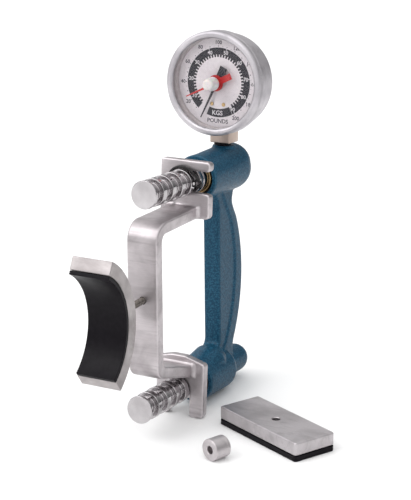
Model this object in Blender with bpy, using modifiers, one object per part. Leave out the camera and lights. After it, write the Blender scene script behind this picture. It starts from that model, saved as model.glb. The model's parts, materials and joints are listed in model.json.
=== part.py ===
"""Hydraulic hand dynamometer with a muscle-test bracket and three push pads.

The instrument stands on a table and leans back a little: it rests on the two legs of
its lower fork and on the underside of its lower boss. Its own frame has +X across the
grip, +Y from the front of the posts to the palm side, and +Z up along the grip, with
the origin on the axis of the lower post, in the middle of the innermost groove. The
flat pad and the button pad lie loose on the table. Lengths below are in millimetres.
"""

import math

import bmesh
import bpy
from mathutils import Vector

MM = 0.001

# Posts: two grooved posts, five grooves each, the innermost groove centred on y = 0
POST_SPACING = 146.5
POST_RADIUS = 9.525
GROOVE_PITCH = 12.7
GROOVE_WIDTH = 7.9
GROOVE_CORE_RADIUS = 6.2
GROOVE_COUNT = 5
POST_FRONT = -57.0
POST_CHAMFER = 0.6
COLLAR_GROOVE = (8.75, 10.2, 8.8)            # start, end, core radius of the thin groove

# Hydraulic unit in the upper boss
UPPER_BOSS_RADIUS = 15.8
UPPER_BOSS_FRONT = 15.2
UPPER_DOME_CENTRE = 66.2
SHOULDER_RADIUS = 15.3                       # a second, tilted cylinder raises the top
BOSS_RISE = 2.9                              # degrees
COUNTERBORE_RADIUS = 12.8
CYLINDER_RADIUS = 9.85
CYLINDER_END = 57.0
GUIDE_BUSH = (16.4, 31.0, 9.8, 10.8)         # front, back, inner radius, outer radius
GLAND_RING = (20.4, 30.6, 11.1, 12.5)
PISTON_TAIL = 52.0
SEAL_GROOVE = (44.0, 47.6, 7.4)
STEM_Y = 57.0
STEM_PAD_TOP = 17.6                          # above the upper post's axis
STEM_PAD_RADIUS = 8.0
OIL_PASSAGE_RADIUS = 1.5

# Lower boss, which holds the fixed post
LOWER_BOSS_RADIUS = 15.8
LOWER_BOSS_FRONT = 18.8
LOWER_BOSS_BACK = 61.2
LOWER_BOSS_EDGE = 4.2
LOWER_SHOULDER = (13.4, 1.8, 12.0)           # radius, start height, rise in degrees
LOBE_RADIUS = 10.4
LOBE_CENTRE = 84.2
LOWER_SEAT = 31.0
LOWER_TAIL_RADIUS = 6.0
LOWER_TAIL_END = 50.0

# Grip between the bosses: a web with a thicker, bowed palm rim
WEB_HALF_WIDTH = 6.4
RIM_HALF_WIDTH = 7.5
WEB_FRONT = [(24.0, 146.0), (30.8, 133.5), (36.2, 129.0), (39.3, 122.5), (40.0, 114.0),
             (47.6, 23.0), (46.2, 20.0), (42.9, 17.5), (36.0, 14.0), (35.0, 5.5)]
WEB_ROUNDING = 4.6
RIM_INNER = (-34.5, 67.1, 102.0)              # centre y, centre z, radius
RIM_OUTER = (-24.5, 64.1, 105.6)
RIM_Z = (-4.0, 138.0)
RIM_FLARE_LOW = ((-4.0, 0.0), (6.0, 6.0), (10.0, 4.4), (14.0, 1.4), (19.0, 0.0))
RIM_FLARE_HIGH = ((113.0, -0.6), (119.0, -1.6), (124.5, -1.0), (129.0, 3.0), (138.0, 12.0))
PALM_ROUNDING = 4.5

# Pressure gauge
GAUGE_Z = 209.2
BEZEL_RADIUS = 36.3
BEZEL_FRONT = 35.6
BEZEL_BACK = 48.5
WINDOW_RADIUS = 31.3
LENS = (38.5, 40.0, 34.0)                    # front, back, radius
DIAL_FRONT = 45.5
DIAL_RADIUS = 31.2
CASE_BACK = 68.0
CASE_WALL = 1.6
ARBOR_RADIUS = 1.0
POINTER_Y = 42.0
PEAK_POINTER_Y = 40.9
KNOB_FRONT = 27.5
KNOB_RADIUS = 4.8
ZERO_ANGLE = 205.0                           # degrees clockwise from twelve o'clock
PEAK_REST_ANGLE = 243.9
PINION_RADIUS = 1.6
SECTOR_RADIUS = 18.0
SECTOR_DIRECTION = 110.0                     # from the arbor to the sector's pivot
MOVEMENT_Y = (48.6, 50.0, 57.0, 58.4)        # front plate, back plate

# Bracket that bridges the posts
FORK_THICKNESS = 6.4
FORK_X = (-17.4, 20.1)
BAR_WIDTH = 22.7
BAR_THICKNESS = 8.2
BAR_TILT = 4.1                               # degrees, top further forward
BAR_MIDDLE = (-51.9, 75.0)
UPPER_ARM_END = 126.6
LOWER_ARM_END = 13.4
UPPER_ARM_CORNER_Z = 123.7
LOWER_ARM_CORNER_Z = 25.1
LOWER_FORK_TOP = 24.5
LEG_DROP = 18.8
LOWER_SLOT = (1.0, 7.9)                      # centre x, half width
UPPER_FORK_Z = (122.5, 161.8)
UPPER_SLOT_Z = (139.9, 155.0)
WELD = 1.8

# Spring clip that keeps the upper post in its fork
CLIP_RADIUS = 11.0
CLIP_WIRE = 0.95
CLIP_Y = -5.0
CLIP_PIVOT = (-13.4, 147.0)

# Pads
STUD_RADIUS = 2.45
STUD_HOLE_RADIUS = 2.8
PAD_ARC_CENTRE = (-141.0, 69.5)
PAD_OUTER_RADIUS = 52.0
PAD_INNER_RADIUS = 43.0
PAD_RUBBER = 3.0
PAD_HALF_WIDTH = 14.5
PAD_ARC = (-49.5, 65.9)                      # degrees above the +Y direction
FLAT_PAD = (82.0, 33.6, 9.0)
FLAT_PAD_RUBBER = 3.7
FLAT_PAD_PLACE = (77.9055, -7.717, -26.2)         # x, y, turn in degrees
BUTTON_PAD = (7.4, 12.5)                     # radius, length
BUTTON_PAD_PLACE = (58.9, -58.6, -21.0)
PAD_HOLE_DEPTH = 7.0

SEAM_TURN = 0.045                            # radians, keeps turned forms' seams apart
GAP = 0.3                                    # clearance between pieces that touch

# The line under the fork legs and the lower boss is the table
LEAN = math.atan2(LEG_DROP - LOWER_BOSS_RADIUS,
                  LOWER_BOSS_BACK - LOWER_BOSS_EDGE - FORK_THICKNESS / 2)
FRONT = (math.pi / 2, 0.0, 0.0)              # local +Z points forward, to -Y
SIDE = (math.pi / 2, 0.0, math.pi / 2)       # local XY lies in YZ, local +Z is +X


# ---------------------------------------------------------------- helpers

def clear_scene():
    for item in list(bpy.data.objects):
        bpy.data.objects.remove(item, do_unlink=True)


def new_collection(name):
    collection = bpy.data.collections.new(name)
    bpy.context.scene.collection.children.link(collection)
    return collection


def new_material(name, color, roughness, metallic):
    material = bpy.data.materials.new(name)
    material.use_nodes = True
    shader = material.node_tree.nodes["Principled BSDF"]
    shader.inputs["Base Color"].default_value = (*color, 1.0)
    shader.inputs["Roughness"].default_value = roughness
    shader.inputs["Metallic"].default_value = metallic
    material.diffuse_color = (*color, 1.0)
    return material


def new_empty(name, location=(0, 0, 0), rotation=(0, 0, 0), parent=None):
    empty = bpy.data.objects.new(name, None)
    bpy.context.scene.collection.objects.link(empty)
    return place(empty, location, rotation, parent)


def place(item, location=(0, 0, 0), rotation=(0, 0, 0), parent=None):
    item.location = Vector(location) * MM
    item.rotation_euler = rotation
    item.parent = parent
    return item


def finish(item, material=None):
    """Puts an object with the parts, or with the shaping forms if it has no material."""
    if material:
        PARTS.objects.link(item)
        item.data.materials.clear()
        item.data.materials.append(material)
    else:
        FORMS.objects.link(item)
        item.hide_render = True
        item.display_type = "WIRE"
    return item


def mesh_object(name, bm, material=None):
    mesh = bpy.data.meshes.new(name)
    bmesh.ops.recalc_face_normals(bm, faces=bm.faces)
    bm.to_mesh(mesh)
    bm.free()
    return finish(bpy.data.objects.new(name, mesh), material)


def turned(name, profile, material=None, segments=28, closed=False):
    """A profile of (radius, height) points turned about Z, run down its outer side."""
    pairs = zip(profile, profile[1:] + profile[:1])
    if sum(a[0] * b[1] - b[0] * a[1] for a, b in pairs) > 0:
        profile = profile[::-1]
    bm = bmesh.new()
    points = [bm.verts.new((radius * MM, 0, height * MM)) for radius, height in profile]
    for first, second in zip(points, points[1:]):
        bm.edges.new((first, second))
    if closed:
        bm.edges.new((points[-1], points[0]))
    mesh = bpy.data.meshes.new(name)
    bm.to_mesh(mesh)
    bm.free()
    item = finish(bpy.data.objects.new(name, mesh), material)
    screw = item.modifiers.new("Screw", "SCREW")
    screw.axis = "Z"
    screw.steps = screw.render_steps = segments
    screw.use_merge_vertices = True
    screw.merge_threshold = 0.00002
    screw.use_smooth_shade = True
    return item


def front_turned(name, profile, material=None, segments=28, closed=False):
    """A profile of (radius, y) points from front to back, turned about the Y axis."""
    heights = [(radius, -y) for radius, y in profile]
    return turned(name, heights, material, segments, closed)


def ring(front, back, inner, outer):
    """The closed (radius, y) profile of a plain ring."""
    return [(outer, front), (outer, back), (inner, back), (inner, front)]


def disc(front, back, radius):
    return [(0, front), (radius, front), (radius, back), (0, back)]


def box(name, size, centre, material=None, parent=None, rotation=(0, 0, 0)):
    bm = bmesh.new()
    bmesh.ops.create_cube(bm, size=1.0)
    bmesh.ops.scale(bm, vec=Vector(size) * MM, verts=bm.verts)
    return place(mesh_object(name, bm, material), centre, rotation, parent)


def plate(name, outlines, half_thickness, material=None):
    """Flat outlines (the first one solid, the others holes) given a thickness along Z."""
    curve = bpy.data.curves.new(name, "CURVE")
    curve.dimensions = "2D"
    curve.fill_mode = "BOTH"
    curve.extrude = half_thickness * MM
    for outline in outlines:
        spline = curve.splines.new("POLY")
        spline.points.add(len(outline) - 1)
        for point, (x, y) in zip(spline.points, outline):
            point.co = (x * MM, y * MM, 0, 1)
        spline.use_cyclic_u = True
    source = bpy.data.objects.new(name, curve)
    bpy.context.scene.collection.objects.link(source)
    graph = bpy.context.evaluated_depsgraph_get()
    mesh = bpy.data.meshes.new_from_object(source.evaluated_get(graph))
    bpy.data.objects.remove(source)
    bm = bmesh.new()
    bm.from_mesh(mesh)
    bmesh.ops.remove_doubles(bm, verts=bm.verts, dist=0.00001)
    bmesh.ops.dissolve_limit(bm, angle_limit=0.001, verts=bm.verts, edges=bm.edges)
    bpy.data.meshes.remove(mesh)
    return mesh_object(name, bm, material)


def wire(name, points, radius, material=None, resolution=2, closed=False):
    """A round wire or tube through points, with filled ends, as a welded mesh."""
    curve = bpy.data.curves.new(name, "CURVE")
    curve.dimensions = "3D"
    curve.bevel_depth = radius * MM
    curve.bevel_resolution = resolution
    curve.use_fill_caps = not closed
    spline = curve.splines.new("POLY")
    spline.points.add(len(points) - 1)
    for point, position in zip(spline.points, points):
        point.co = (*(Vector(position) * MM), 1)
    spline.use_cyclic_u = closed
    source = bpy.data.objects.new(name, curve)
    bpy.context.scene.collection.objects.link(source)
    graph = bpy.context.evaluated_depsgraph_get()
    mesh = bpy.data.meshes.new_from_object(source.evaluated_get(graph))
    bpy.data.objects.remove(source)
    bm = bmesh.new()
    bm.from_mesh(mesh)
    bmesh.ops.remove_doubles(bm, verts=bm.verts, dist=0.00001)
    bpy.data.meshes.remove(mesh)
    return mesh_object(name, bm, material)


def join(target, *forms):
    for form in forms:
        modifier = target.modifiers.new("Join " + form.name, "BOOLEAN")
        modifier.operation = "UNION"
        modifier.object = form
    return target


def cut(target, *forms):
    for form in forms:
        modifier = target.modifiers.new("Cut " + form.name, "BOOLEAN")
        modifier.operation = "DIFFERENCE"
        modifier.object = form
    return target


def round_edges(item, width, segments=2, angle=40):
    bevel = item.modifiers.new("Bevel", "BEVEL")
    bevel.width = width * MM
    bevel.segments = segments
    bevel.limit_method = "ANGLE"
    bevel.angle_limit = math.radians(angle)
    return item


def arc(centre, radius, start, end, count):
    """Points on an arc, with its angles in degrees."""
    angles = [math.radians(start + (end - start) * i / (count - 1)) for i in range(count)]
    return [(centre[0] + radius * math.cos(a), centre[1] + radius * math.sin(a)) for a in angles]


def rounded(corners, count=5):
    """An outline whose corners (x, y, radius) are replaced by arcs of count points."""
    outline = []
    for index, (x, y, radius) in enumerate(corners):
        here = Vector((x, y))
        before = (Vector(corners[index - 1][:2]) - here).normalized()
        after = (Vector(corners[(index + 1) % len(corners)][:2]) - here).normalized()
        if radius <= 0:
            outline.append((x, y))
            continue
        half = before.angle(after) / 2
        centre = here + (before + after).normalized() * radius / math.sin(half)
        first = here + before * radius / math.tan(half) - centre
        last = here + after * radius / math.tan(half) - centre
        for i in range(count):
            spoke = first.lerp(last, i / (count - 1)).normalized() * radius
            outline.append(tuple(centre + spoke))
    return outline


def side_of(path, distance):
    """A polyline shifted sideways by distance, with its corners kept sharp."""
    points = [Vector(p) for p in path]
    normals = []
    for first, second in zip(points, points[1:]):
        along = (second - first).normalized()
        normals.append(Vector((-along.y, along.x)))
    shifted = [points[0] + normals[0] * distance]
    for point, left, right in zip(points[1:], normals, normals[1:]):
        middle = (left + right).normalized()
        shifted.append(point + middle * distance / middle.dot(left))
    shifted.append(points[-1] + normals[-1] * distance)
    return shifted


def clock(degrees, radius):
    """A point on the dial face, (x, z) from its centre, clockwise from twelve."""
    angle = math.radians(degrees)
    return radius * math.sin(angle), radius * math.cos(angle)


# ---------------------------------------------------------------- body casting

def palm_rim_outline():
    def on(circle, z):
        centre_y, centre_z, radius = circle
        return centre_y + math.sqrt(radius ** 2 - (z - centre_z) ** 2)

    low, high = RIM_Z
    back = [(on(RIM_OUTER, z) + flare, z) for z, flare in RIM_FLARE_LOW]
    count = 13
    start, end = RIM_FLARE_LOW[-1][0], RIM_FLARE_HIGH[0][0]
    middle = [start + (end - start) * i / count for i in range(1, count)]
    back += [(on(RIM_OUTER, z), z) for z in middle]
    back += [(on(RIM_OUTER, z) + flare, z) for z, flare in RIM_FLARE_HIGH]
    front = [(on(RIM_INNER, z), z) for z in [high] + list(reversed(middle)) + [low]]
    return back + front


def make_palm_rim(frame):
    rim = plate("palm_rim_form", [palm_rim_outline()], RIM_HALF_WIDTH)
    bm = bmesh.new()
    bm.from_mesh(rim.data)
    reach = (RIM_OUTER[2] - 1.0) * MM
    middle = Vector((RIM_OUTER[0], RIM_OUTER[1])) * MM
    low, high = RIM_Z[0] * MM, RIM_Z[1] * MM

    def on_palm(vert):
        return low < vert.co.y < high and (vert.co.xy - middle).length > reach

    edges = [e for e in bm.edges if all(on_palm(v) for v in e.verts)
             and abs(e.verts[0].co.z - e.verts[1].co.z) < 1e-6
             and len(e.link_faces) == 2 and e.calc_face_angle() > 1.0]
    bmesh.ops.bevel(bm, geom=edges, offset=PALM_ROUNDING * MM, segments=3, profile=0.5,
                    affect="EDGES")
    bm.to_mesh(rim.data)
    bm.free()
    return place(rim, rotation=SIDE, parent=frame)


def make_body_casting(frame, material):
    """Two bosses, the grip web and rim between them, and their bores."""
    web = WEB_FRONT + arc(RIM_INNER[:2], RIM_INNER[2] + 6.0, -31.5, 37.5, 9)
    body = plate("body_casting", [web], WEB_HALF_WIDTH, material)
    place(body, rotation=SIDE, parent=frame)
    round_edges(body, WEB_ROUNDING, 3)

    dome = [(UPPER_BOSS_RADIUS * math.cos(math.radians(a)),
             UPPER_DOME_CENTRE + UPPER_BOSS_RADIUS * math.sin(math.radians(a)))
            for a in (0, 18, 36, 54, 72)]
    dome.append((0, UPPER_DOME_CENTRE + UPPER_BOSS_RADIUS))
    upper = front_turned("upper_boss_form",
                         [(0, UPPER_BOSS_FRONT), (UPPER_BOSS_RADIUS - 0.8, UPPER_BOSS_FRONT),
                          (UPPER_BOSS_RADIUS, UPPER_BOSS_FRONT + 0.8)] + dome, segments=36)
    place(upper, (0, 0, POST_SPACING), FRONT, frame)
    rise = math.radians(BOSS_RISE)
    shrink = SHOULDER_RADIUS / UPPER_BOSS_RADIUS
    shoulder = [(radius * shrink, y - UPPER_BOSS_FRONT) for radius, y in dome]
    shoulder = front_turned("upper_shoulder_form",
                            [(0, 4), (SHOULDER_RADIUS, 4)] + shoulder, segments=32)
    place(shoulder, (0, UPPER_BOSS_FRONT, POST_SPACING), (math.pi / 2 + rise, SEAM_TURN, 0), frame)

    lower = front_turned("lower_boss_form",
                         [(0, LOWER_BOSS_FRONT), (LOWER_BOSS_RADIUS - 0.8, LOWER_BOSS_FRONT),
                          (LOWER_BOSS_RADIUS, LOWER_BOSS_FRONT + 0.8),
                          (LOWER_BOSS_RADIUS, LOWER_BOSS_BACK - LOWER_BOSS_EDGE),
                          (LOWER_BOSS_RADIUS - 1.2, LOWER_BOSS_BACK - 1.4),
                          (LOWER_BOSS_RADIUS - LOWER_BOSS_EDGE, LOWER_BOSS_BACK),
                          (0, LOWER_BOSS_BACK)], segments=36)
    place(lower, (0, 0, 0), FRONT, frame)
    radius, height, lift = LOWER_SHOULDER
    swell = front_turned("lower_shoulder_form",
                         [(0, 0.8), (radius, 0.8), (radius, 26), (radius - 2, 32), (radius - 6, 36),
                          (0, 38)], segments=24)
    place(swell, (0, LOWER_BOSS_FRONT, height),
          (math.pi / 2 + math.radians(lift), -SEAM_TURN, 0), frame)
    lobe = [(LOBE_RADIUS * math.cos(math.radians(a)),
             LOBE_CENTRE + LOBE_RADIUS * math.sin(math.radians(a))) for a in (0, 22, 44, 66)]
    lobe = front_turned("lower_lobe_form", [(0, LOWER_BOSS_BACK - 6), (LOBE_RADIUS, LOWER_BOSS_BACK - 6)]
                        + lobe + [(0, LOBE_CENTRE + LOBE_RADIUS)], segments=28)
    place(lobe, (0, 0, 0), (math.pi / 2, SEAM_TURN, 0), frame)

    stem_pad = turned("stem_pad_form", [(0, STEM_PAD_TOP), (STEM_PAD_RADIUS, STEM_PAD_TOP),
                                        (STEM_PAD_RADIUS + 1.5, 0), (0, 0)], segments=28)
    place(stem_pad, (0, STEM_Y, POST_SPACING), (0, 0, SEAM_TURN), frame)
    join(body, make_palm_rim(frame), upper, shoulder, lower, swell, lobe, stem_pad)

    cylinder = front_turned("cylinder_bore_form",
                            [(0, UPPER_BOSS_FRONT - 4), (COUNTERBORE_RADIUS, UPPER_BOSS_FRONT - 4),
                             (COUNTERBORE_RADIUS, GUIDE_BUSH[1] + GAP),
                             (CYLINDER_RADIUS, GUIDE_BUSH[1] + GAP),
                             (CYLINDER_RADIUS, CYLINDER_END), (0, CYLINDER_END)], segments=32)
    place(cylinder, (0, 0, POST_SPACING), (math.pi / 2, 2 * SEAM_TURN, 0), frame)
    passage = turned("oil_passage_form", [(0, STEM_PAD_TOP + 4), (4.9, STEM_PAD_TOP + 4),
                                          (4.9, 13.0), (OIL_PASSAGE_RADIUS, 13.0),
                                          (OIL_PASSAGE_RADIUS, -1.0), (0, -1.0)], segments=16)
    place(passage, (0, STEM_Y - 2.0, POST_SPACING), (0, 0, 3 * SEAM_TURN), frame)
    seat = front_turned("lower_seat_form",
                        [(0, LOWER_BOSS_FRONT - 4), (COUNTERBORE_RADIUS, LOWER_BOSS_FRONT - 4),
                         (COUNTERBORE_RADIUS, LOWER_SEAT), (LOWER_TAIL_RADIUS + GAP, LOWER_SEAT),
                         (LOWER_TAIL_RADIUS + GAP, LOWER_TAIL_END + 1.5),
                         (0, LOWER_TAIL_END + 1.5)], segments=32)
    place(seat, (0, 0, 0), (math.pi / 2, 3 * SEAM_TURN, 0), frame)
    screw_hole = turned("set_screw_hole_form", [(0, -4), (2.8, -4), (2.8, -20), (0, -20)],
                        segments=12)
    place(screw_hole, (0, 41.0, 0), (0, 0, 2 * SEAM_TURN), frame)
    cut(body, cylinder, passage, seat, screw_hole)
    return body


# ---------------------------------------------------------------- posts and hydraulics

def grooved_front():
    """The (radius, y) outline from the post's front face to behind the innermost groove."""
    profile = [(0, POST_FRONT), (POST_RADIUS - POST_CHAMFER, POST_FRONT),
               (POST_RADIUS, POST_FRONT + POST_CHAMFER)]
    for index in reversed(range(GROOVE_COUNT)):
        middle = -index * GROOVE_PITCH
        start, end = middle - GROOVE_WIDTH / 2, middle + GROOVE_WIDTH / 2
        profile += [(POST_RADIUS, start), (GROOVE_CORE_RADIUS, start),
                    (GROOVE_CORE_RADIUS, end), (POST_RADIUS, end)]
    start, end, radius = COLLAR_GROOVE
    return profile + [(POST_RADIUS, start), (radius, start), (radius, end), (POST_RADIUS, end)]


def make_upper_post(frame, material):
    seal_front, seal_back, core = SEAL_GROOVE
    profile = grooved_front() + [(POST_RADIUS, seal_front), (core, seal_front),
                                 (core, seal_back), (POST_RADIUS, seal_back),
                                 (POST_RADIUS, PISTON_TAIL - 0.6),
                                 (POST_RADIUS - 0.6, PISTON_TAIL), (0, PISTON_TAIL)]
    post = front_turned("upper_post", profile, material, segments=24)
    return place(post, (0, 0, POST_SPACING), FRONT, frame)


def make_lower_post(frame, material):
    seat = LOWER_SEAT - GAP
    profile = grooved_front() + [(POST_RADIUS, seat), (LOWER_TAIL_RADIUS, seat),
                                 (LOWER_TAIL_RADIUS, LOWER_TAIL_END), (0, LOWER_TAIL_END)]
    post = front_turned("lower_post", profile, material, segments=24)
    return place(post, (0, 0, 0), FRONT, frame)


def make_hydraulic_rings(frame, materials):
    front, back, core = SEAL_GROOVE
    upper = (0, 0, POST_SPACING)
    rings = [
        ("piston_seal", ring(front + GAP, back - GAP, core + 0.2, CYLINDER_RADIUS - 0.1),
         "black_rubber", upper),
        ("guide_bush", ring(*GUIDE_BUSH), "brass", upper),
        ("gland_ring", ring(*GLAND_RING), "black_steel", upper),
        ("lower_dust_seal", ring(23.0, LOWER_SEAT - GAP, POST_RADIUS + 0.3,
                                 COUNTERBORE_RADIUS - 0.3), "black_rubber", (0, 0, 0)),
    ]
    for name, profile, material, location in rings:
        item = front_turned(name, profile, materials[material], segments=32, closed=True)
        place(item, location, FRONT, frame)


def make_set_screw(frame, material):
    screw = turned("lower_post_set_screw", [(0, -6.4), (2.4, -6.4), (2.4, -13.0), (0, -13.0)],
                   material, segments=12)
    return place(screw, (0, 41.0, 0), parent=frame)


# ---------------------------------------------------------------- gauge

def make_gauge_stem(frame, material):
    """Square socket block with the threaded neck below it and the tube seat above it."""
    block_bottom = STEM_PAD_TOP + 2.0
    stem = box("gauge_stem", (15.0, 15.0, 13.0),
               (0, STEM_Y, POST_SPACING + block_bottom + 6.5), material, frame)
    round_edges(stem, 0.6, 1)
    neck = turned("stem_neck_form", [(0, block_bottom + 1), (4.3, block_bottom + 1),
                                     (4.3, 13.5), (0, 13.5)], segments=16)
    place(neck, (0, STEM_Y - 2.0, POST_SPACING), parent=frame)
    seat = box("tube_seat_form", (8.0, 6.0, 12.0),
               (1.9, 53.6, POST_SPACING + block_bottom + 17.0), parent=frame)
    bore = turned("stem_oilway_form", [(0, 36), (1.0, 36), (1.0, 10), (0, 10)], segments=10)
    place(bore, (0, STEM_Y - 2.0, POST_SPACING), parent=frame)
    join(stem, neck, seat)
    cut(stem, bore)
    return stem


def make_stem_o_ring(frame, material):
    middle = STEM_PAD_TOP + 1.0
    section = [(4.75 + 0.75 * (1 - math.cos(a)), middle + 0.7 * math.sin(a))
               for a in [math.radians(180 - 45 * i) for i in range(8)]]
    item = turned("stem_o_ring", section, material, segments=18, closed=True)
    return place(item, (0, STEM_Y - 2.0, POST_SPACING), parent=frame)


def make_gauge_case(frame, material):
    """A cup, open at the front, with a rounded back and a slot for the socket block."""
    outer = [(33.6, BEZEL_BACK - 5.5), (33.6, 56.0), (33.0, 60.0), (31.3, 64.2),
             (28.0, 67.0), (24.0, CASE_BACK), (0, CASE_BACK)]
    inner = [(0, CASE_BACK - CASE_WALL), (23.6, CASE_BACK - CASE_WALL), (27.0, 65.6),
             (29.9, 63.0), (31.4, 59.6), (32.0, 56.0), (32.0, BEZEL_BACK - 5.5)]
    case = front_turned("gauge_case", outer + inner, material, segments=36, closed=True)
    place(case, (0, 0, GAUGE_Z), FRONT, frame)
    slot = box("stem_slot_form", (15.6, 15.6, 30.0), (0, STEM_Y, GAUGE_Z - 37.0), parent=frame)
    return cut(case, slot)


def make_bezel(frame, material):
    profile = [(WINDOW_RADIUS, BEZEL_FRONT), (BEZEL_RADIUS - 1.4, BEZEL_FRONT),
               (BEZEL_RADIUS - 0.4, BEZEL_FRONT + 0.5), (BEZEL_RADIUS, BEZEL_FRONT + 1.6),
               (BEZEL_RADIUS, BEZEL_BACK - 0.8), (BEZEL_RADIUS - 0.8, BEZEL_BACK),
               (33.9, BEZEL_BACK), (33.9, 42.7), (34.5, 42.7), (34.5, 38.2),
               (WINDOW_RADIUS, 38.2)]
    bezel = front_turned("gauge_bezel", profile, material, segments=40, closed=True)
    return place(bezel, (0, 0, GAUGE_Z), FRONT, frame)


def make_dial_side(frame, materials):
    centre = (0, 0, GAUGE_Z)
    lens = front_turned("gauge_lens", ring(LENS[0], LENS[1], 2.7, LENS[2]),
                        materials["clear_glass"], segments=36, closed=True)
    gasket = front_turned("lens_gasket", ring(40.3, 41.2, 32.8, 34.1),
                          materials["black_rubber"], segments=36, closed=True)
    spacer = front_turned("dial_spacer_ring", [(34.0, 41.5), (34.0, 42.6), (31.8, 42.6),
                                               (31.8, 45.2), (31.0, 45.2), (31.2, 42.2),
                                               (32.9, 41.5)],
                          materials["white_metal"], segments=36, closed=True)
    dial = front_turned("dial_plate", ring(DIAL_FRONT, DIAL_FRONT + 0.7, 1.7, DIAL_RADIUS),
                        materials["white_metal"], segments=40, closed=True)
    for item in (lens, gasket, spacer, dial):
        place(item, centre, FRONT, frame)
    holes = []
    for side, x in (("left", -4.5), ("right", 4.5)):
        where = (x, 0, GAUGE_Z - 15.1)
        screw = front_turned("dial_screw_" + side,
                             [(0, 44.6), (1.1, 44.7), (1.5, 45.2), (0.9, 45.2),
                              (0.9, 48.0), (0, 48.0)], materials["brass"], segments=12)
        place(screw, where, FRONT, frame)
        hole = front_turned("screw_hole_form_" + side, disc(44, 47, 1.2), segments=12)
        holes.append(place(hole, where, FRONT, frame))
    cut(dial, *holes)


def make_movement(frame, materials):
    """Bourdon tube, the two plates, and the geared sector with its link."""
    brass = materials["brass"]
    centre_z = GAUGE_Z
    tube_arc = arc((0, centre_z), 25.0, -96.0, -340.0, 30)
    tube_path = [(x, 53.6, z) for x, z in tube_arc]
    place(wire("bourdon_tube", tube_path, 2.0, materials["copper"]), parent=frame)

    pivot_x, pivot_z = clock(SECTOR_DIRECTION, PINION_RADIUS + SECTOR_RADIUS + 0.2)
    outline = rounded([(-6.5, -17.5, 2), (21.5, -17.5, 2), (21.5, 7.5, 2), (-6.5, 7.5, 2)])
    front_y, front_back, back_y, back_back = MOVEMENT_Y
    for name, near, far in (("movement_front_plate", front_y, front_back),
                            ("movement_back_plate", back_y, back_back)):
        holes = [arc((0, 0), 1.3, 0, 324, 10), arc((pivot_x, pivot_z), 1.3, 0, 324, 10)]
        item = plate(name, [outline] + holes, (far - near) / 2, brass)
        place(item, (0, (near + far) / 2, centre_z), FRONT, frame)
    pillars = []
    for x, z in ((-4.0, -12.5), (15.0, 5.0)):
        pillar = front_turned("pillar_form", disc(front_back + GAP, back_y + 0.5, 1.5), segments=10)
        pillars.append(place(pillar, (x, 0, centre_z + z), FRONT, frame))
    join(bpy.data.objects["movement_back_plate"], *pillars)

    pivot = new_empty("sector_axis", (pivot_x, 0, centre_z + pivot_z), parent=frame)
    toward = 90.0 - SECTOR_DIRECTION - 180.0
    start = toward - 32.0
    teeth = arc((0, 0), SECTOR_RADIUS, start, start + 36.0, 12)
    hub = arc((0, 0), 2.6, start + 60, start + 330, 10)
    sector = plate("sector_gear", [teeth + hub], 0.8, brass)
    place(sector, (0, 53.0, 0), FRONT, pivot)
    spindle = front_turned("sector_spindle_form", disc(48.8, 58.2, 1.0), segments=10)
    place(spindle, parent=pivot, rotation=FRONT)
    tail = box("sector_tail_form", (9.0, 1.6, 2.4), (5.0, 53.0, -1.5), parent=pivot)
    join(sector, spindle, tail)

    link = wire("connecting_link", [(8.4, 54.6, -1.5), (8.5, 56.3, 0.5), (7.7, 56.3, 12.4)],
                0.45, materials["black_steel"], 1)
    place(link, parent=pivot)
    return pivot


def make_hairspring(frame, material):
    turns, count = 2.5, 28
    points = []
    for index in range(count):
        share = index / (count - 1)
        radius = 2.3 + 3.2 * share
        angle = share * turns * 2 * math.pi
        points.append((radius * math.cos(angle), 55.6, GAUGE_Z + radius * math.sin(angle)))
    return place(wire("hairspring", points, 0.15, material, 0), parent=frame)


def make_pointers(frame, materials):
    """The live pointer on its arbor, and the peak pointer under its reset knob."""
    black, red = materials["black_paint"], materials["red_paint"]
    axis = new_empty("pointer_axis", (0, 0, GAUGE_Z), parent=frame)
    arbor = front_turned("pointer_arbor",
                         [(0, 41.6), (ARBOR_RADIUS - 0.2, 41.6), (ARBOR_RADIUS, 42.6), (ARBOR_RADIUS, 51.2),
                          (PINION_RADIUS, 51.2), (PINION_RADIUS, 54.8), (ARBOR_RADIUS, 54.8),
                          (ARBOR_RADIUS, 58.2), (0, 58.2)], materials["brass"], segments=16)
    place(arbor, rotation=FRONT, parent=axis)
    needle = [(-2.8, -12.2), (2.8, -12.2), (2.2, 0), (0.9, 6), (0.35, 27.6), (-0.35, 27.6),
              (-0.9, 6), (-2.2, 0)]
    pointer = plate("live_pointer", [needle, arc((0, 0), 1.3, 0, 330, 12)], 0.25, black)
    turn = math.radians(ZERO_ANGLE)
    place(pointer, (0, POINTER_Y + 0.6, 0), (math.pi / 2, turn, 0), axis)

    peak_axis = new_empty("peak_axis", (0, 0, GAUGE_Z), parent=frame)
    peak = [(-2.6, -7.5), (2.6, -7.5), (2.4, -2), (0.9, 4), (0.35, 25.2), (-0.35, 25.2),
            (-0.9, 4), (-2.4, -2)]
    peak_pointer = plate("peak_pointer", [peak, arc((0, 0), 1.2, 0, 330, 12)], 0.2, red)
    place(peak_pointer, (0, PEAK_POINTER_Y, 0),
          (math.pi / 2, math.radians(PEAK_REST_ANGLE), 0), peak_axis)
    knob = front_turned("peak_reset_knob",
                        [(0, KNOB_FRONT), (KNOB_RADIUS - 0.7, KNOB_FRONT),
                         (KNOB_RADIUS, KNOB_FRONT + 0.7), (KNOB_RADIUS, 36.6),
                         (KNOB_RADIUS - 0.5, 37.6), (2.4, 37.9), (2.2, 40.4), (0.9, 40.4),
                         (0.9, 41.3), (0, 41.3)],
                        materials["clear_plastic"], segments=24)
    place(knob, rotation=FRONT, parent=peak_axis)


# ---------------------------------------------------------------- bracket

def bar_y(z):
    return BAR_MIDDLE[0] - math.tan(math.radians(BAR_TILT)) * (z - BAR_MIDDLE[1])


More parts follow.
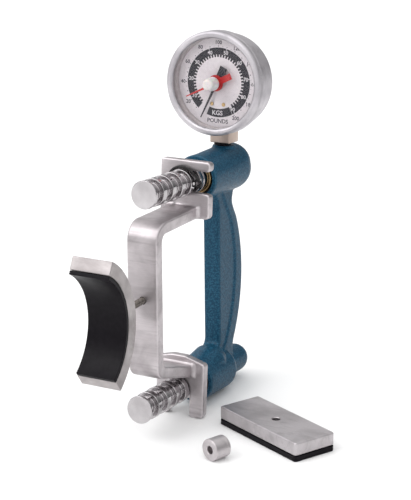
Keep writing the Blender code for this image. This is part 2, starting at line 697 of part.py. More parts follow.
def make_bracket(pivot, material):
    """A bent bar with a fork plate on each end, drawn about the lower post's groove."""
    path = [(0.0, UPPER_ARM_END), (bar_y(UPPER_ARM_CORNER_Z), UPPER_ARM_CORNER_Z),
            (bar_y(LOWER_ARM_CORNER_Z), LOWER_ARM_CORNER_Z), (0.0, LOWER_ARM_END)]
    outside = side_of(path, -BAR_THICKNESS / 2)
    inside = side_of(path, BAR_THICKNESS / 2)
    outer_radii, inner_radii = (0, 13.0, 9.5, 0), (0, 5.0, 4.0, 0)
    corners = [(*p, r) for p, r in zip(outside, outer_radii)]
    corners += [(*p, r) for p, r in zip(reversed(inside), reversed(inner_radii))]
    bracket = plate("push_bracket", [rounded(corners, 6)], BAR_WIDTH / 2, material)
    place(bracket, rotation=SIDE, parent=pivot)
    round_edges(bracket, 1.3, 2)

    lower_fork = plate("lower_fork_form", [lower_fork_outline()], FORK_THICKNESS / 2)
    place(lower_fork, rotation=FRONT, parent=pivot)
    upper_fork = plate("upper_fork_form", [upper_fork_outline()], FORK_THICKNESS / 2)
    place(upper_fork, rotation=FRONT, parent=pivot)
    for fork in (lower_fork, upper_fork):
        round_edges(fork, 0.9, 2)
    welds = [make_weld(pivot, "lower_weld_form", 10.2, 20.3),
             make_weld(pivot, "upper_weld_form", 123.0, 131.6)]
    stud_hole = turned("stud_hole_form", disc(-12, 12, STUD_HOLE_RADIUS)[::-1], segments=16)
    tilt = math.radians(BAR_TILT)
    place(stud_hole, stud_origin(), (math.pi / 2 + tilt, 0, 0), pivot)
    screw_hole = front_turned("clip_screw_hole_form", disc(-6, 2.2, 1.5), segments=12)
    place(screw_hole, (CLIP_PIVOT[0], 0, CLIP_PIVOT[1]), FRONT, pivot)
    join(bracket, lower_fork, upper_fork, *welds)
    cut(bracket, stud_hole, screw_hole)
    return bracket


def make_weld(pivot, name, low, high):
    """The weld around an arm's end, flaring onto the front of its fork plate."""
    face, half = -FORK_THICKNESS / 2, BAR_WIDTH / 2
    bm = bmesh.new()
    rings = []
    for y, x, bottom, top in ((face + 1.0, half + WELD, low, high),
                              (face, half + WELD, low, high),
                              (face - WELD, half + 0.1, low + 0.5, high - WELD)):
        corners = ((-x, bottom), (x, bottom), (x, top), (-x, top))
        rings.append([bm.verts.new((u * MM, y * MM, v * MM)) for u, v in corners])
    for near, far in zip(rings, rings[1:]):
        for i in range(4):
            bm.faces.new((near[i], near[(i + 1) % 4], far[(i + 1) % 4], far[i]))
    bm.faces.new(rings[0])
    bm.faces.new(rings[-1])
    return place(mesh_object(name, bm), parent=pivot)


def lower_fork_outline():
    """Fork plate that sits over the lower post, its slot open downward."""
    left, right = FORK_X
    centre, half = LOWER_SLOT
    outline = []
    corners = [(left, -LEG_DROP, 3.0), (centre - half, -LEG_DROP, 2.5), (centre - half, 0.4, 0),
               (centre + half, 0.4, 0), (centre + half, -LEG_DROP, 2.5), (right, -LEG_DROP, 3.0),
               (right, LOWER_FORK_TOP - 4.4, 2.5), (5.0, LOWER_FORK_TOP, 12.0),
               (-6.0, LOWER_FORK_TOP, 12.0), (left, LOWER_FORK_TOP - 3.0, 2.5)]
    for point in rounded(corners, 4):
        outline.append(point)
        if point == (centre - half, 0.4):
            outline += arc((centre, 0.4), half, 180, 0, 11)[1:-1]
    return outline


def upper_fork_outline():
    """Fork plate that takes the upper post from the side, its slot open to +X."""
    left, right = FORK_X
    low, high = UPPER_FORK_Z
    slot_low, slot_high = UPPER_SLOT_Z
    half = (slot_high - slot_low) / 2
    corners = [(left, low, 1.5), (right, low, 3.0), (right, slot_low, 2.5), (0.0, slot_low, 0),
               (0.0, slot_high, 0), (right, slot_high, 2.5), (right, high, 2.5), (left, high, 2.0)]
    outline = []
    for point in rounded(corners, 4):
        outline.append(point)
        if point == (0.0, slot_low):
            outline += arc((0.0, slot_low + half), half, 270, 90, 11)[1:-1]
    return outline


def stud_origin():
    """Where the stud's axis meets the bar's centre line."""
    tilt = math.radians(BAR_TILT)
    arc_y, arc_z = PAD_ARC_CENTRE
    reach = (BAR_MIDDLE[0] - arc_y) / math.cos(tilt)
    z = arc_z + reach * math.sin(tilt)
    return 0.0, bar_y(z), z


def make_stud(pivot, material):
    """Threaded stud through the bar, its front end inside the curved pad."""
    tilt = math.radians(BAR_TILT)
    _, y, z = stud_origin()
    arc_y, arc_z = PAD_ARC_CENTRE
    reach = math.hypot(y - arc_y, z - arc_z)
    tip = reach - PAD_OUTER_RADIUS + 5.4
    back = BAR_THICKNESS / 2 - 0.4
    stud = turned("pad_stud", [(0, tip), (STUD_RADIUS - 0.4, tip), (STUD_RADIUS, tip - 0.6),
                               (STUD_RADIUS, -back), (0, -back)], material, segments=16)
    return place(stud, (0, y, z), (math.pi / 2 + tilt, 0, 0), pivot)


def make_clip(pivot, materials):
    """Spring clip over the upper post, turning about a screw on the fork's far side."""
    black = materials["black_steel"]
    pivot_x, pivot_z = CLIP_PIVOT
    hinge = new_empty("clip_axis", (pivot_x, CLIP_Y, pivot_z), parent=pivot)
    clip = wire("retaining_clip", clip_path(), CLIP_WIRE, black, 2)
    place(clip, parent=hinge)
    screw = front_turned("clip_screw", [(0, -6.9), (2.0, -6.9), (2.4, -6.5), (2.4, -6.1),
                                        (1.2, -6.1), (1.2, 1.5), (0, 1.5)],
                         black, segments=14)
    place(screw, (pivot_x, 0, pivot_z), FRONT, pivot)
    return hinge


def clip_path():
    """The wire's points about the screw: a tail, an eye, an arch, and an end curled
    into the mouth of the fork's slot."""
    pivot_x, pivot_z = CLIP_PIVOT
    centre = (-pivot_x, POST_SPACING - pivot_z)
    tail = [(6.4, -13.8), (4.2, -11.6), (1.6, -8.0), (-1.0, -4.6)]
    eye = arc((0, 0), 2.7, 215, 50, 8)
    arch = arc(centre, CLIP_RADIUS, 148, 44, 11)
    turn_in = arc(centre, CLIP_RADIUS, 36, 20, 3)
    curl = arc((centre[0] + 10.9, centre[1]), 2.3, 110, 440, 10)
    path = [(x, 0.0, z) for x, z in tail + eye + arch]
    path += [(x, depth, z) for (x, z), depth in zip(turn_in, (0.4, 1.3, 2.2))]
    return path + [(x, 2.4, z) for x, z in curl]


# ---------------------------------------------------------------- pads

def make_curved_pad(pivot, materials):
    """Curved plate with a rubber lining, both drawn about the middle of their arc."""
    tilt = math.radians(BAR_TILT)
    stud_x, stud_y, stud_z = stud_origin()
    axis = new_empty("curved_pad_axis", (stud_x, stud_y, stud_z), parent=pivot)
    offset = (0, PAD_ARC_CENTRE[0] - stud_y, PAD_ARC_CENTRE[1] - stud_z)
    low, high = PAD_ARC

    def band(inner, outer):
        return arc((0, 0), outer, low, high, 17) + arc((0, 0), inner, high, low, 17)

    backing = plate("curved_pad_plate", [band(PAD_INNER_RADIUS, PAD_OUTER_RADIUS)],
                    PAD_HALF_WIDTH, materials["aluminium"])
    lining = plate("curved_pad_rubber",
                   [band(PAD_INNER_RADIUS - PAD_RUBBER, PAD_INNER_RADIUS - GAP)],
                   PAD_HALF_WIDTH - 0.1, materials["black_rubber"])
    for item in (backing, lining):
        place(item, offset, SIDE, axis)
    round_edges(backing, 0.5, 1)
    hole = turned("pad_hole_form", [(0, PAD_OUTER_RADIUS + 4), (STUD_HOLE_RADIUS, PAD_OUTER_RADIUS + 4),
                                    (STUD_HOLE_RADIUS, PAD_OUTER_RADIUS - 6.2),
                                    (0, PAD_OUTER_RADIUS - 6.2)], segments=16)
    place(hole, offset, (-math.pi / 2 + tilt, 0, 0), axis)
    cut(backing, hole)
    return axis


def make_flat_pad(table, materials):
    x, y, turn = FLAT_PAD_PLACE
    length, width, height = FLAT_PAD
    base = new_empty("flat_pad_frame", (x, y, 0), (0, 0, math.radians(turn)), table)
    rubber = box("flat_pad_rubber", (length, width, FLAT_PAD_RUBBER),
                 (0, 0, FLAT_PAD_RUBBER / 2), materials["black_rubber"], base)
    round_edges(rubber, 0.4, 1)
    floor = FLAT_PAD_RUBBER + GAP
    block = box("flat_pad_block", (length, width, height), (0, 0, floor + height / 2),
                materials["aluminium"], base)
    round_edges(block, 1.6, 2)
    hole = turned("flat_pad_hole_form", [(0, height), (STUD_HOLE_RADIUS, height),
                                         (STUD_HOLE_RADIUS, height / 2 - PAD_HOLE_DEPTH),
                                         (0, height / 2 - PAD_HOLE_DEPTH)], segments=16)
    place(hole, (0, 0, floor + height / 2), parent=base)
    cut(block, hole)
    return base


def make_button_pad(table, materials):
    """Round pad that lies on its side, its threaded end to the front."""
    x, y, turn = BUTTON_PAD_PLACE
    radius, length = BUTTON_PAD
    base = new_empty("button_pad_frame", (x, y, radius), (0, 0, math.radians(turn)), table)
    half = length / 2
    pad = front_turned("button_pad",
                       [(0, PAD_HOLE_DEPTH - half), (STUD_HOLE_RADIUS, PAD_HOLE_DEPTH - half),
                        (STUD_HOLE_RADIUS, -half), (radius - 0.8, -half), (radius, 0.8 - half),
                        (radius, half - 0.8), (radius - 0.8, half), (0, half)],
                       materials["aluminium"], segments=32)
    place(pad, rotation=FRONT, parent=base)
    return base


# ---------------------------------------------------------------- assembly

def make_materials():
    recipes = {
        "blue_paint": ((0.010, 0.070, 0.150), 0.38, 0.35),
        "aluminium": ((0.70, 0.69, 0.68), 0.42, 0.95),
        "chrome": ((0.80, 0.80, 0.82), 0.12, 1.0),
        "satin_steel": ((0.62, 0.62, 0.62), 0.32, 1.0),
        "brass": ((0.72, 0.52, 0.24), 0.30, 1.0),
        "copper": ((0.70, 0.42, 0.25), 0.30, 1.0),
        "black_rubber": ((0.010, 0.010, 0.011), 0.65, 0.0),
        "black_steel": ((0.020, 0.020, 0.022), 0.35, 0.6),
        "black_paint": ((0.010, 0.010, 0.010), 0.45, 0.0),
        "red_paint": ((0.60, 0.02, 0.02), 0.40, 0.0),
        "white_metal": ((0.82, 0.82, 0.80), 0.50, 0.1),
        "clear_glass": ((0.95, 0.97, 0.97), 0.04, 0.0),
        "clear_plastic": ((0.86, 0.87, 0.86), 0.15, 0.0),
    }
    return {name: new_material(name, *values) for name, values in recipes.items()}


def stand_on_table(table):
    """Shifts everything so that the middle of its box's base is the world's origin."""
    graph = bpy.context.evaluated_depsgraph_get()
    graph.update()
    points = []
    for item in PARTS.objects:
        shape = item.evaluated_get(graph)
        points += [shape.matrix_world @ v.co for v in shape.data.vertices]
    low = Vector([min(p[i] for p in points) for i in range(3)])
    high = Vector([max(p[i] for p in points) for i in range(3)])
    table.location -= Vector(((low.x + high.x) / 2, (low.y + high.y) / 2, low.z))


def build():
    materials = make_materials()
    table = new_empty("table_frame")
    rest_height = LEG_DROP * math.cos(LEAN) + FORK_THICKNESS / 2 * math.sin(LEAN)
    frame = new_empty("instrument_frame", (0, 0, rest_height), (-LEAN, 0, 0), table)

    make_body_casting(frame, materials["blue_paint"])
    make_upper_post(frame, materials["chrome"])
    make_lower_post(frame, materials["chrome"])
    make_hydraulic_rings(frame, materials)
    make_set_screw(frame, materials["black_steel"])

    make_gauge_stem(frame, materials["brass"])
    make_stem_o_ring(frame, materials["black_rubber"])
    make_gauge_case(frame, materials["satin_steel"])
    make_bezel(frame, materials["satin_steel"])
    make_dial_side(frame, materials)
    make_movement(frame, materials)
    make_hairspring(frame, materials["copper"])
    make_pointers(frame, materials)

    bracket_axis = new_empty("bracket_axis", parent=frame)
    make_bracket(bracket_axis, materials["aluminium"])
    make_stud(bracket_axis, materials["black_steel"])
    make_clip(bracket_axis, materials)
    make_curved_pad(bracket_axis, materials)

    make_flat_pad(table, materials)
    make_button_pad(table, materials)
    stand_on_table(table)


clear_scene()
PARTS = new_collection("hand_dynamometer")
FORMS = new_collection("shaping_forms")
build()
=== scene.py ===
"""Looks of a hydraulic hand dynamometer with its muscle-test bracket and loose pads."""
import json
import math

import bmesh
import bpy
from mathutils import Euler, Matrix, Vector


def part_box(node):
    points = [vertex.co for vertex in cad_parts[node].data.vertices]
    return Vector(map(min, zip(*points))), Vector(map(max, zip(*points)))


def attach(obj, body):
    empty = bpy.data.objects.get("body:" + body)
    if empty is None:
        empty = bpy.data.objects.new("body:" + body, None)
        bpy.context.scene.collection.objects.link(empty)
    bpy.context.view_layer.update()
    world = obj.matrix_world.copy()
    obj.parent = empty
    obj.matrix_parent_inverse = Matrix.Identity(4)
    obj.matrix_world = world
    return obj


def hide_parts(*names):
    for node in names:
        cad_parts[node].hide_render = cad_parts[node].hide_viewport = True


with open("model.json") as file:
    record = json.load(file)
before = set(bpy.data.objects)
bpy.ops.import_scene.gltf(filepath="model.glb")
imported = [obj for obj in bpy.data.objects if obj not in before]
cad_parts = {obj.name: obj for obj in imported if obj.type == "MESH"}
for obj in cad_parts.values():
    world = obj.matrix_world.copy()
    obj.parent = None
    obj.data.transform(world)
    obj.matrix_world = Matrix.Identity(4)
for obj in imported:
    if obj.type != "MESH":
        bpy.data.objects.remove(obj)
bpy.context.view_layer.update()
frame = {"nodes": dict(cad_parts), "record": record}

MM = 0.001

# Sizes in millimetres, in the instrument's own frame. The origin is on the lower post's axis
# at the groove that holds the bracket's fork; +Y runs to the back and +Z up to the gauge.
POST_SPACING = 146.5
POST_RADIUS = 9.525
GROOVE_PITCH, GROOVE_WIDTH, GROOVE_CORE = 12.7, 7.9, 6.2
POST_FRONT = -57.0
BOSS_RADIUS, SHOULDER_RADIUS = 15.8, 15.3
UPPER_FRONT, DOME_CENTRE = 15.2, 66.2
LOWER_FRONT, LOWER_BACK = 18.8, 61.2
COUNTERBORE = 12.8
LOBE_RADIUS, LOBE_CENTRE = 10.4, 84.2
STEM_Y, STEM_PAD_TOP = 57.0, 17.6
NECK_PLACE = (0, STEM_Y - 2.0, POST_SPACING)
GAUGE_Z = 209.2
DIAL_FRONT, POINTER_Y, PEAK_Y = 45.5, 42.6, 40.9
BEZEL_RADIUS = 36.25
REEDS, REED_HEIGHT, REEDING = 220, 0.34, (38.45, 41.25)
DIAL_SCREW_X, DIAL_SCREW_DROP = 4.5, 15.1
BAND_INNER, BAND_OUTER, TOOTH_TIP = 19.4, 24.2, 17.6
KG_NUMBERS, LB_NUMBERS, LB_DOTS = 21.3, 27.7, 25.2
PRINT_HALF, PRINT_LIFT = 0.02, 0.025
ZERO_ANGLE, PEAK_ANGLE = 205.0, 243.9        # degrees clockwise from twelve o'clock
DEGREES_PER_KG = 3.34
DEGREES_PER_LB = DEGREES_PER_KG * 0.45359
RIM_INNER, RIM_OUTER = (-34.5, 67.1, 102.0), (-24.5, 64.1, 105.6)    # y, z, radius
RIM_BOTTOM, RIM_TOP, RIM_HALF_WIDTH, RIM_ROUNDING = -4.0, 138.0, 7.5, 4.5
WEB_HALF_WIDTH, WEB_ROUNDING = 6.4, 4.6
BAR_WIDTH, BAR_THICKNESS, BAR_TILT = 22.7, 8.2, math.radians(4.1)
BAR_MIDDLE = (-51.9, 75.0)
FORK_THICKNESS, FORK_X = 6.4, (-17.4, 20.1)
CLIP_PIVOT = (-13.4, -5.0, 147.0)
PAD_ARC_CENTRE = (-141.0, 69.5)
PAD_OUTER, PAD_INNER, PAD_RUBBER = 52.0, 43.0, 3.0
PAD_ARC, PAD_HALF_WIDTH = (-49.5, 65.9), 14.5
FLAT_PAD, FLAT_PAD_RUBBER, FLAT_PAD_TURN = (82.0, 33.6, 9.0), 3.7, -26.2
BUTTON_RADIUS, BUTTON_LENGTH, BUTTON_TURN = 7.4, 12.5, -21.0
STUD_HOLE = 2.8
GAP = 0.3                                    # between pieces that touch
CAMERA_PLACE = (498.4, -942.5, 352.2)
CAMERA_ANGLES = (27.06, 13.35, 1.68)         # azimuth, elevation and roll

FRONT = (math.pi / 2, 0.0, 0.0)              # local +Z points forward, to -Y
SIDE = (math.pi / 2, 0.0, math.pi / 2)       # local XY lies in YZ


# ---- frames

def mount(name):
    return next(m for m in frame["record"]["mounts"] if m["name"] == name)


def instrument_frame():
    low, high = (Vector(mount(n)["pos_m"]) for n in ("lower_post_end", "upper_post_end"))
    back = -Vector(mount("lower_post_end")["axis"]).normalized()
    right = back.cross(high - low).normalized()
    up = right.cross(back)
    placed = Matrix((right, back, up)).transposed().to_4x4()
    placed.translation = low - back * POST_FRONT * MM
    return placed


INSTRUMENT = instrument_frame()


def turned_about_z(position, degrees):
    return Matrix.Translation(position) @ Matrix.Rotation(math.radians(degrees), 4, "Z")


FLAT_PAD_FRAME = turned_about_z(Vector(mount("flat_pad_underside")["pos_m"]), FLAT_PAD_TURN)
BUTTON_CENTRE = sum(map(Vector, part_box("button_pad")), Vector()) / 2
BUTTON_FRAME = turned_about_z(BUTTON_CENTRE, BUTTON_TURN)


# ---- modelling

def place(item, location=(0, 0, 0), rotation=(0, 0, 0), base=INSTRUMENT):
    local = Matrix.Translation(Vector(location) * MM) @ Euler(rotation).to_matrix().to_4x4()
    item.matrix_world = base @ local
    return item


def added(name, data):
    item = bpy.data.objects.new(name, data)
    bpy.context.scene.collection.objects.link(item)
    return item


def mesh_object(name, bm):
    mesh = bpy.data.meshes.new(name)
    bm.to_mesh(mesh)
    bm.free()
    return added(name, mesh)


def evaluated_mesh(item):
    bpy.context.view_layer.update()
    graph = bpy.context.evaluated_depsgraph_get()
    return bpy.data.meshes.new_from_object(item.evaluated_get(graph))


def applied(item):
    """Turns what the modifiers make into the object's own mesh."""
    mesh = evaluated_mesh(item)
    item.modifiers.clear()
    item.data = mesh
    return item


def settle(item, sharp=40.0):
    """Applies the modifiers and shades the result smooth, with its real edges kept sharp."""
    mesh = applied(item).data
    mesh.name = item.name
    mesh.shade_smooth()
    if sharp:
        mesh.set_sharp_from_angle(angle=math.radians(sharp))
        even = item.modifiers.new("Even_normals", "WEIGHTED_NORMAL")
        even.keep_sharp = True
    return item


def softened(profile, radius, count=4, closed=False):
    """A profile whose corners are rounded by radius, or by less where the sides are short."""
    points = [Vector(p) for p in profile]
    result = []
    for index, here in enumerate(points):
        if not closed and index in (0, len(points) - 1):
            result.append(tuple(here))
            continue
        before = points[index - 1] - here
        after = points[(index + 1) % len(points)] - here
        half = before.angle(after) / 2
        if half > math.radians(86):
            result.append(tuple(here))
            continue
        reach = min(radius / math.tan(half), before.length * 0.45, after.length * 0.45)
        before, after = before.normalized(), after.normalized()
        centre = here + (before + after).normalized() * reach / math.cos(half)
        first, last = here + before * reach - centre, here + after * reach - centre
        bend = reach * math.tan(half)
        for i in range(count):
            spoke = first.lerp(last, i / (count - 1)).normalized() * bend
            result.append(tuple(centre + spoke))
    return result


def turned(name, profile, segments=96, closed=False):
    """A profile of (radius, height) points turned about Z."""
    pairs = zip(profile, profile[1:] + profile[:1])
    if sum(a[0] * b[1] - b[0] * a[1] for a, b in pairs) > 0:
        profile = profile[::-1]
    bm = bmesh.new()
    points = [bm.verts.new((radius * MM, 0, height * MM)) for radius, height in profile]
    for first, second in zip(points, points[1:]):
        bm.edges.new((first, second))
    if closed:
        bm.edges.new((points[-1], points[0]))
    item = mesh_object(name, bm)
    screw = item.modifiers.new("Screw", "SCREW")
    screw.axis = "Z"
    screw.steps = screw.render_steps = segments
    screw.use_merge_vertices = True
    screw.merge_threshold = 0.000005
    return item


def front_turned(name, profile, segments=96, closed=False):
    """A profile of (radius, y) points, front to back, for placing with FRONT."""
    return turned(name, [(radius, -y) for radius, y in profile], segments, closed)


def ring(front, back, inner, outer):
    return [(outer, front), (outer, back), (inner, back), (inner, front)]


def rod(radius, start, end):
    """The profile of a plain cylinder."""
    return [(0, start), (radius, start), (radius, end), (0, end)]


def polyline(curve, points):
    """A straight-sided spline through points that are already in metres."""
    spline = curve.splines.new("POLY")
    spline.points.add(len(points) - 1)
    for point, position in zip(spline.points, points):
        point.co = (*position, 1)
    return spline


def plate(name, outlines, half_thickness):
    """Flat outlines (the first solid, later ones holes or islands) given a thickness."""
    curve = bpy.data.curves.new(name, "CURVE")
    curve.dimensions = "2D"
    curve.fill_mode = "BOTH"
    curve.extrude = half_thickness * MM
    for outline in outlines:
        polyline(curve, [(x * MM, y * MM, 0) for x, y in outline]).use_cyclic_u = True
    return welded(name, curve)


def welded(name, curve):
    """The mesh that a curve shows, with its caps joined on."""
    source = added(name, curve)
    mesh = evaluated_mesh(source)
    bpy.data.objects.remove(source)
    bm = bmesh.new()
    bm.from_mesh(mesh)
    bmesh.ops.remove_doubles(bm, verts=bm.verts, dist=0.000002)
    bmesh.ops.dissolve_limit(bm, angle_limit=0.0005, verts=bm.verts, edges=bm.edges)
    bpy.data.meshes.remove(mesh)
    return mesh_object(name, bm)


def block(name, size, centre=(0, 0, 0)):
    bm = bmesh.new()
    bmesh.ops.create_cube(bm, size=1.0)
    bmesh.ops.scale(bm, vec=Vector(size) * MM, verts=bm.verts)
    bmesh.ops.translate(bm, vec=Vector(centre) * MM, verts=bm.verts)
    return mesh_object(name, bm)


def skin(rings):
    """Rings of points joined by faces, with both ends closed."""
    bm = bmesh.new()
    rows = [[bm.verts.new([c * MM for c in point]) for point in ring] for ring in rings]
    for near, far in zip(rows, rows[1:]):
        for i in range(len(near)):
            k = (i + 1) % len(near)
            bm.faces.new((near[i], near[k], far[k], far[i]))
    bm.faces.new(rows[0][::-1])
    bm.faces.new(rows[-1])
    return bm


def wire(name, points, radius, sides=4):
    curve = bpy.data.curves.new(name, "CURVE")
    curve.dimensions = "3D"
    curve.bevel_depth = radius * MM
    curve.bevel_resolution = sides
    curve.use_fill_caps = True
    polyline(curve, [Vector(p) * MM for p in points])
    return welded(name, curve)


def flowing(points, steps=5):
    """A smooth path through the points."""
    points = [Vector(p) for p in points]
    ends = [points[0] * 2 - points[1]] + points + [points[-1] * 2 - points[-2]]
    path = []
    for a, b, c, d in zip(ends, ends[1:], ends[2:], ends[3:]):
        for i in range(steps):
            t = i / steps
            path.append(0.5 * (2 * b + (c - a) * t + (2 * a - 5 * b + 4 * c - d) * t ** 2
                               + (3 * b - a - 3 * c + d) * t ** 3))
    return [tuple(p) for p in path] + [tuple(points[-1])]


def boolean(target, forms, operation, solver="EXACT"):
    for form in forms:
        modifier = target.modifiers.new(operation, "BOOLEAN")
        modifier.operation = operation
        modifier.solver = solver
        modifier.object = form
    applied(target)
    for form in forms:
        bpy.data.objects.remove(form)
    return target


def gathered(target, forms):
    """Puts the forms' shells into the target's mesh, for melted() to make one skin of."""
    bm = bmesh.new()
    for item in [target] + forms:
        mesh = evaluated_mesh(item)
        mesh.transform(target.matrix_world.inverted() @ item.matrix_world)
        bm.from_mesh(mesh)
        bpy.data.meshes.remove(mesh)
    target.modifiers.clear()
    bm.to_mesh(target.data)
    bm.free()
    for form in forms:
        bpy.data.objects.remove(form)
    return target


def bevelled(item, width, segments=3, angle=40):
    bevel = item.modifiers.new("Bevel", "BEVEL")
    bevel.width = width * MM
    bevel.segments = segments
    bevel.limit_method = "ANGLE"
    bevel.angle_limit = math.radians(angle)
    return item


def melted(item, voxel, passes):
    """Rebuilds the surface as one skin and relaxes it, so that its joins become fillets."""
    remesh = item.modifiers.new("Remesh", "REMESH")
    remesh.mode = "VOXEL"
    remesh.voxel_size = voxel * MM
    relax = item.modifiers.new("Smooth", "SMOOTH")
    relax.factor = 0.5
    relax.iterations = passes
    return applied(item)


def arc(centre, radius, start, end, count):
    """Points on an arc, with its angles in degrees."""
    angles = [math.radians(start + (end - start) * i / (count - 1)) for i in range(count)]
    x, y = centre
    return [(x + radius * math.cos(a), y + radius * math.sin(a)) for a in angles]


def rounded(corners, count=8):
    """An outline whose corners (x, y, radius) are replaced by arcs of count points."""
    outline = []
    for index, (x, y, radius) in enumerate(corners):
        here = Vector((x, y))
        if radius <= 0:
            outline.append((x, y))
            continue
        before = (Vector(corners[index - 1][:2]) - here).normalized()
        after = (Vector(corners[(index + 1) % len(corners)][:2]) - here).normalized()
        half = before.angle(after) / 2
        centre = here + (before + after).normalized() * radius / math.sin(half)
        first = here + before * radius / math.tan(half) - centre
        last = here + after * radius / math.tan(half) - centre
        for i in range(count):
            spoke = first.lerp(last, i / (count - 1)).normalized() * radius
            outline.append(tuple(centre + spoke))
    return outline


def side_of(path, distance):
    """A polyline shifted sideways by distance, with its corners kept sharp."""
    points = [Vector(p) for p in path]
    normals = []
    for first, second in zip(points, points[1:]):
        along = (second - first).normalized()
        normals.append(Vector((-along.y, along.x)))
    shifted = [points[0] + normals[0] * distance]
    for point, left, right in zip(points[1:], normals, normals[1:]):
        middle = (left + right).normalized()
        shifted.append(point + middle * distance / middle.dot(left))
    return shifted + [points[-1] + normals[-1] * distance]


def clock(degrees, radius):
    """A point on the dial face, (x, z) from its centre, clockwise from twelve."""
    angle = math.radians(degrees)
    return radius * math.sin(angle), radius * math.cos(angle)


# ---- materials

def set_range(node, start, end, low, high):
    for socket, number in zip(("From Min", "From Max", "To Min", "To Max"),
                              (start, end, low, high)):
        node.inputs[socket].default_value = number


class Recipe:
    """A Principled material whose pattern nodes are added one by one."""

    def __init__(self, name, **sockets):
        self.material = bpy.data.materials.new(name)
        self.material.use_nodes = True
        self.nodes = self.material.node_tree.nodes
        self.link = self.material.node_tree.links.new
        self.shader = self.nodes["Principled BSDF"]
        self.here = self.nodes.new("ShaderNodeTexCoord").outputs["Object"]
        self.height = None
        for socket, value in sockets.items():
            self.shader.inputs[socket.replace("_", " ")].default_value = value

    def node(self, kind, **settings):
        made = self.nodes.new("ShaderNode" + kind)
        for key, value in settings.items():
            if key in made.inputs:
                made.inputs[key].default_value = value
            else:
                setattr(made, key, value)
        return made

    def stretched(self, scale):
        mapping = self.node("Mapping")
        mapping.inputs["Scale"].default_value = scale
        self.link(self.here, mapping.inputs["Vector"])
        return mapping.outputs[0]

    def noise(self, scale, detail=3.0, stretch=None, distortion=0.0):
        made = self.node("TexNoise", Scale=scale, Detail=detail, Distortion=distortion)
        self.link(self.stretched(stretch) if stretch else self.here, made.inputs["Vector"])
        return made.outputs["Fac"]

    def cells(self, scale, smoothness=0.6):
        made = self.node("TexVoronoi", feature="SMOOTH_F1", Scale=scale, Smoothness=smoothness)
        self.link(self.here, made.inputs["Vector"])
        return made.outputs["Distance"]

    def rings(self, scale, axis):
        made = self.node("TexWave", wave_type="RINGS", rings_direction=axis, Scale=scale,
                         Distortion=1.2, Detail=2.0)
        self.link(self.here, made.inputs["Vector"])
        return made.outputs["Fac"]

    def edges(self, low, high):
        made = self.node("NewGeometry")
        return self.spread(made.outputs["Pointiness"], 0.0, 1.0, low, high)

    def spread(self, value, low, high, start=0.3, end=0.7):
        made = self.node("MapRange")
        set_range(made, start, end, low, high)
        self.link(value, made.inputs["Value"])
        return made.outputs[0]

    def mixed(self, share, first, second):
        made = self.node("Mix", data_type="RGBA")
        colour_inputs = [s for s in made.inputs if s.type == "RGBA"]
        self.link(share, made.inputs[0])
        for socket, colour in zip(colour_inputs, (first, second)):
            if isinstance(colour, tuple):
                socket.default_value = (*colour, 1.0)
            else:
                self.link(colour, socket)
        return next(s for s in made.outputs if s.type == "RGBA")

    def colour(self, value):
        self.link(value, self.shader.inputs["Base Color"])
        return self

    def roughness(self, value):
        self.link(value, self.shader.inputs["Roughness"])
        return self

    def relief(self, value, depth, strength=1.0):
        """Adds a bump, its depth in millimetres, over those already there."""
        made = self.node("Bump", Strength=strength)
        made.inputs["Distance"].default_value = depth * MM
        self.link(value, made.inputs["Height"])
        if self.height:
            self.link(self.height, made.inputs["Normal"])
        self.height = made.outputs["Normal"]
        self.link(self.height, self.shader.inputs["Normal"])
        return self


def brushed(name, dark, light, gloss, grain=(1.0, 1.0, 1.0), depth=0.004, cloud=45.0,
            painted_edge_highlight=False):
    """Bare metal: cloudy brightness, uneven gloss and fine scratches along the grain."""
    made = Recipe(name, Metallic=1.0)
    clouds = made.spread(made.noise(cloud, 4.0, distortion=0.6), 0.0, 1.0, 0.34, 0.66)
    lines = made.noise(1400.0, 3.0, grain)
    tone = made.mixed(clouds, dark, light)
    scratch = made.spread(lines, 0.0, 0.22, 0.45, 0.75)
    tone = made.mixed(scratch, tone, tuple(c * 0.72 for c in dark))
    smears = made.spread(made.noise(75.0, 6.0, grain, 1.4), 0.0, 0.45, 0.54, 0.68)
    tone = made.mixed(smears, tone, tuple(c * 0.80 for c in dark))
    # Painted highlight: sharp edges, found by pointiness, get a lighter colour that stands in
    # for light caught on them.
    if painted_edge_highlight:
        tone = made.mixed(made.edges(0.515, 0.56), tone, tuple(c * 1.2 for c in light))
    made.colour(tone)
    made.roughness(made.spread(made.noise(130.0, 3.0, grain), gloss[0], gloss[1]))
    made.relief(lines, depth)
    return made.relief(made.noise(260.0, 2.0), depth * 2).material


def lathe_turned(name, dark, light, gloss, depth=0.003):
    """Metal turned about local Z: fine rings on faces and around the sides."""
    made = Recipe(name, Metallic=1.0)
    rings = made.rings(1100.0, "Z")
    bands = made.noise(900.0, 2.0, (0.03, 0.03, 1.0))
    clouds = made.spread(made.noise(90.0, 3.0), 0.0, 1.0)
    made.colour(made.mixed(clouds, dark, light))
    made.roughness(made.spread(bands, gloss[0], gloss[1], 0.35, 0.65))
    made.relief(rings, depth * 0.6)
    return made.relief(bands, depth).material


def mottled(made, cloud, tones, patch, gloss, grain, depth):
    """Clouds between two tones, patches of gloss and a fine bump. cloud is the noise's scale
    and detail, then the span of it that the tones cover."""
    made.colour(made.mixed(made.spread(made.noise(*cloud[:2]), 0.0, 1.0, *cloud[2:]), *tones))
    made.roughness(made.spread(made.noise(patch), *gloss))
    return made.relief(made.noise(*grain), depth).material


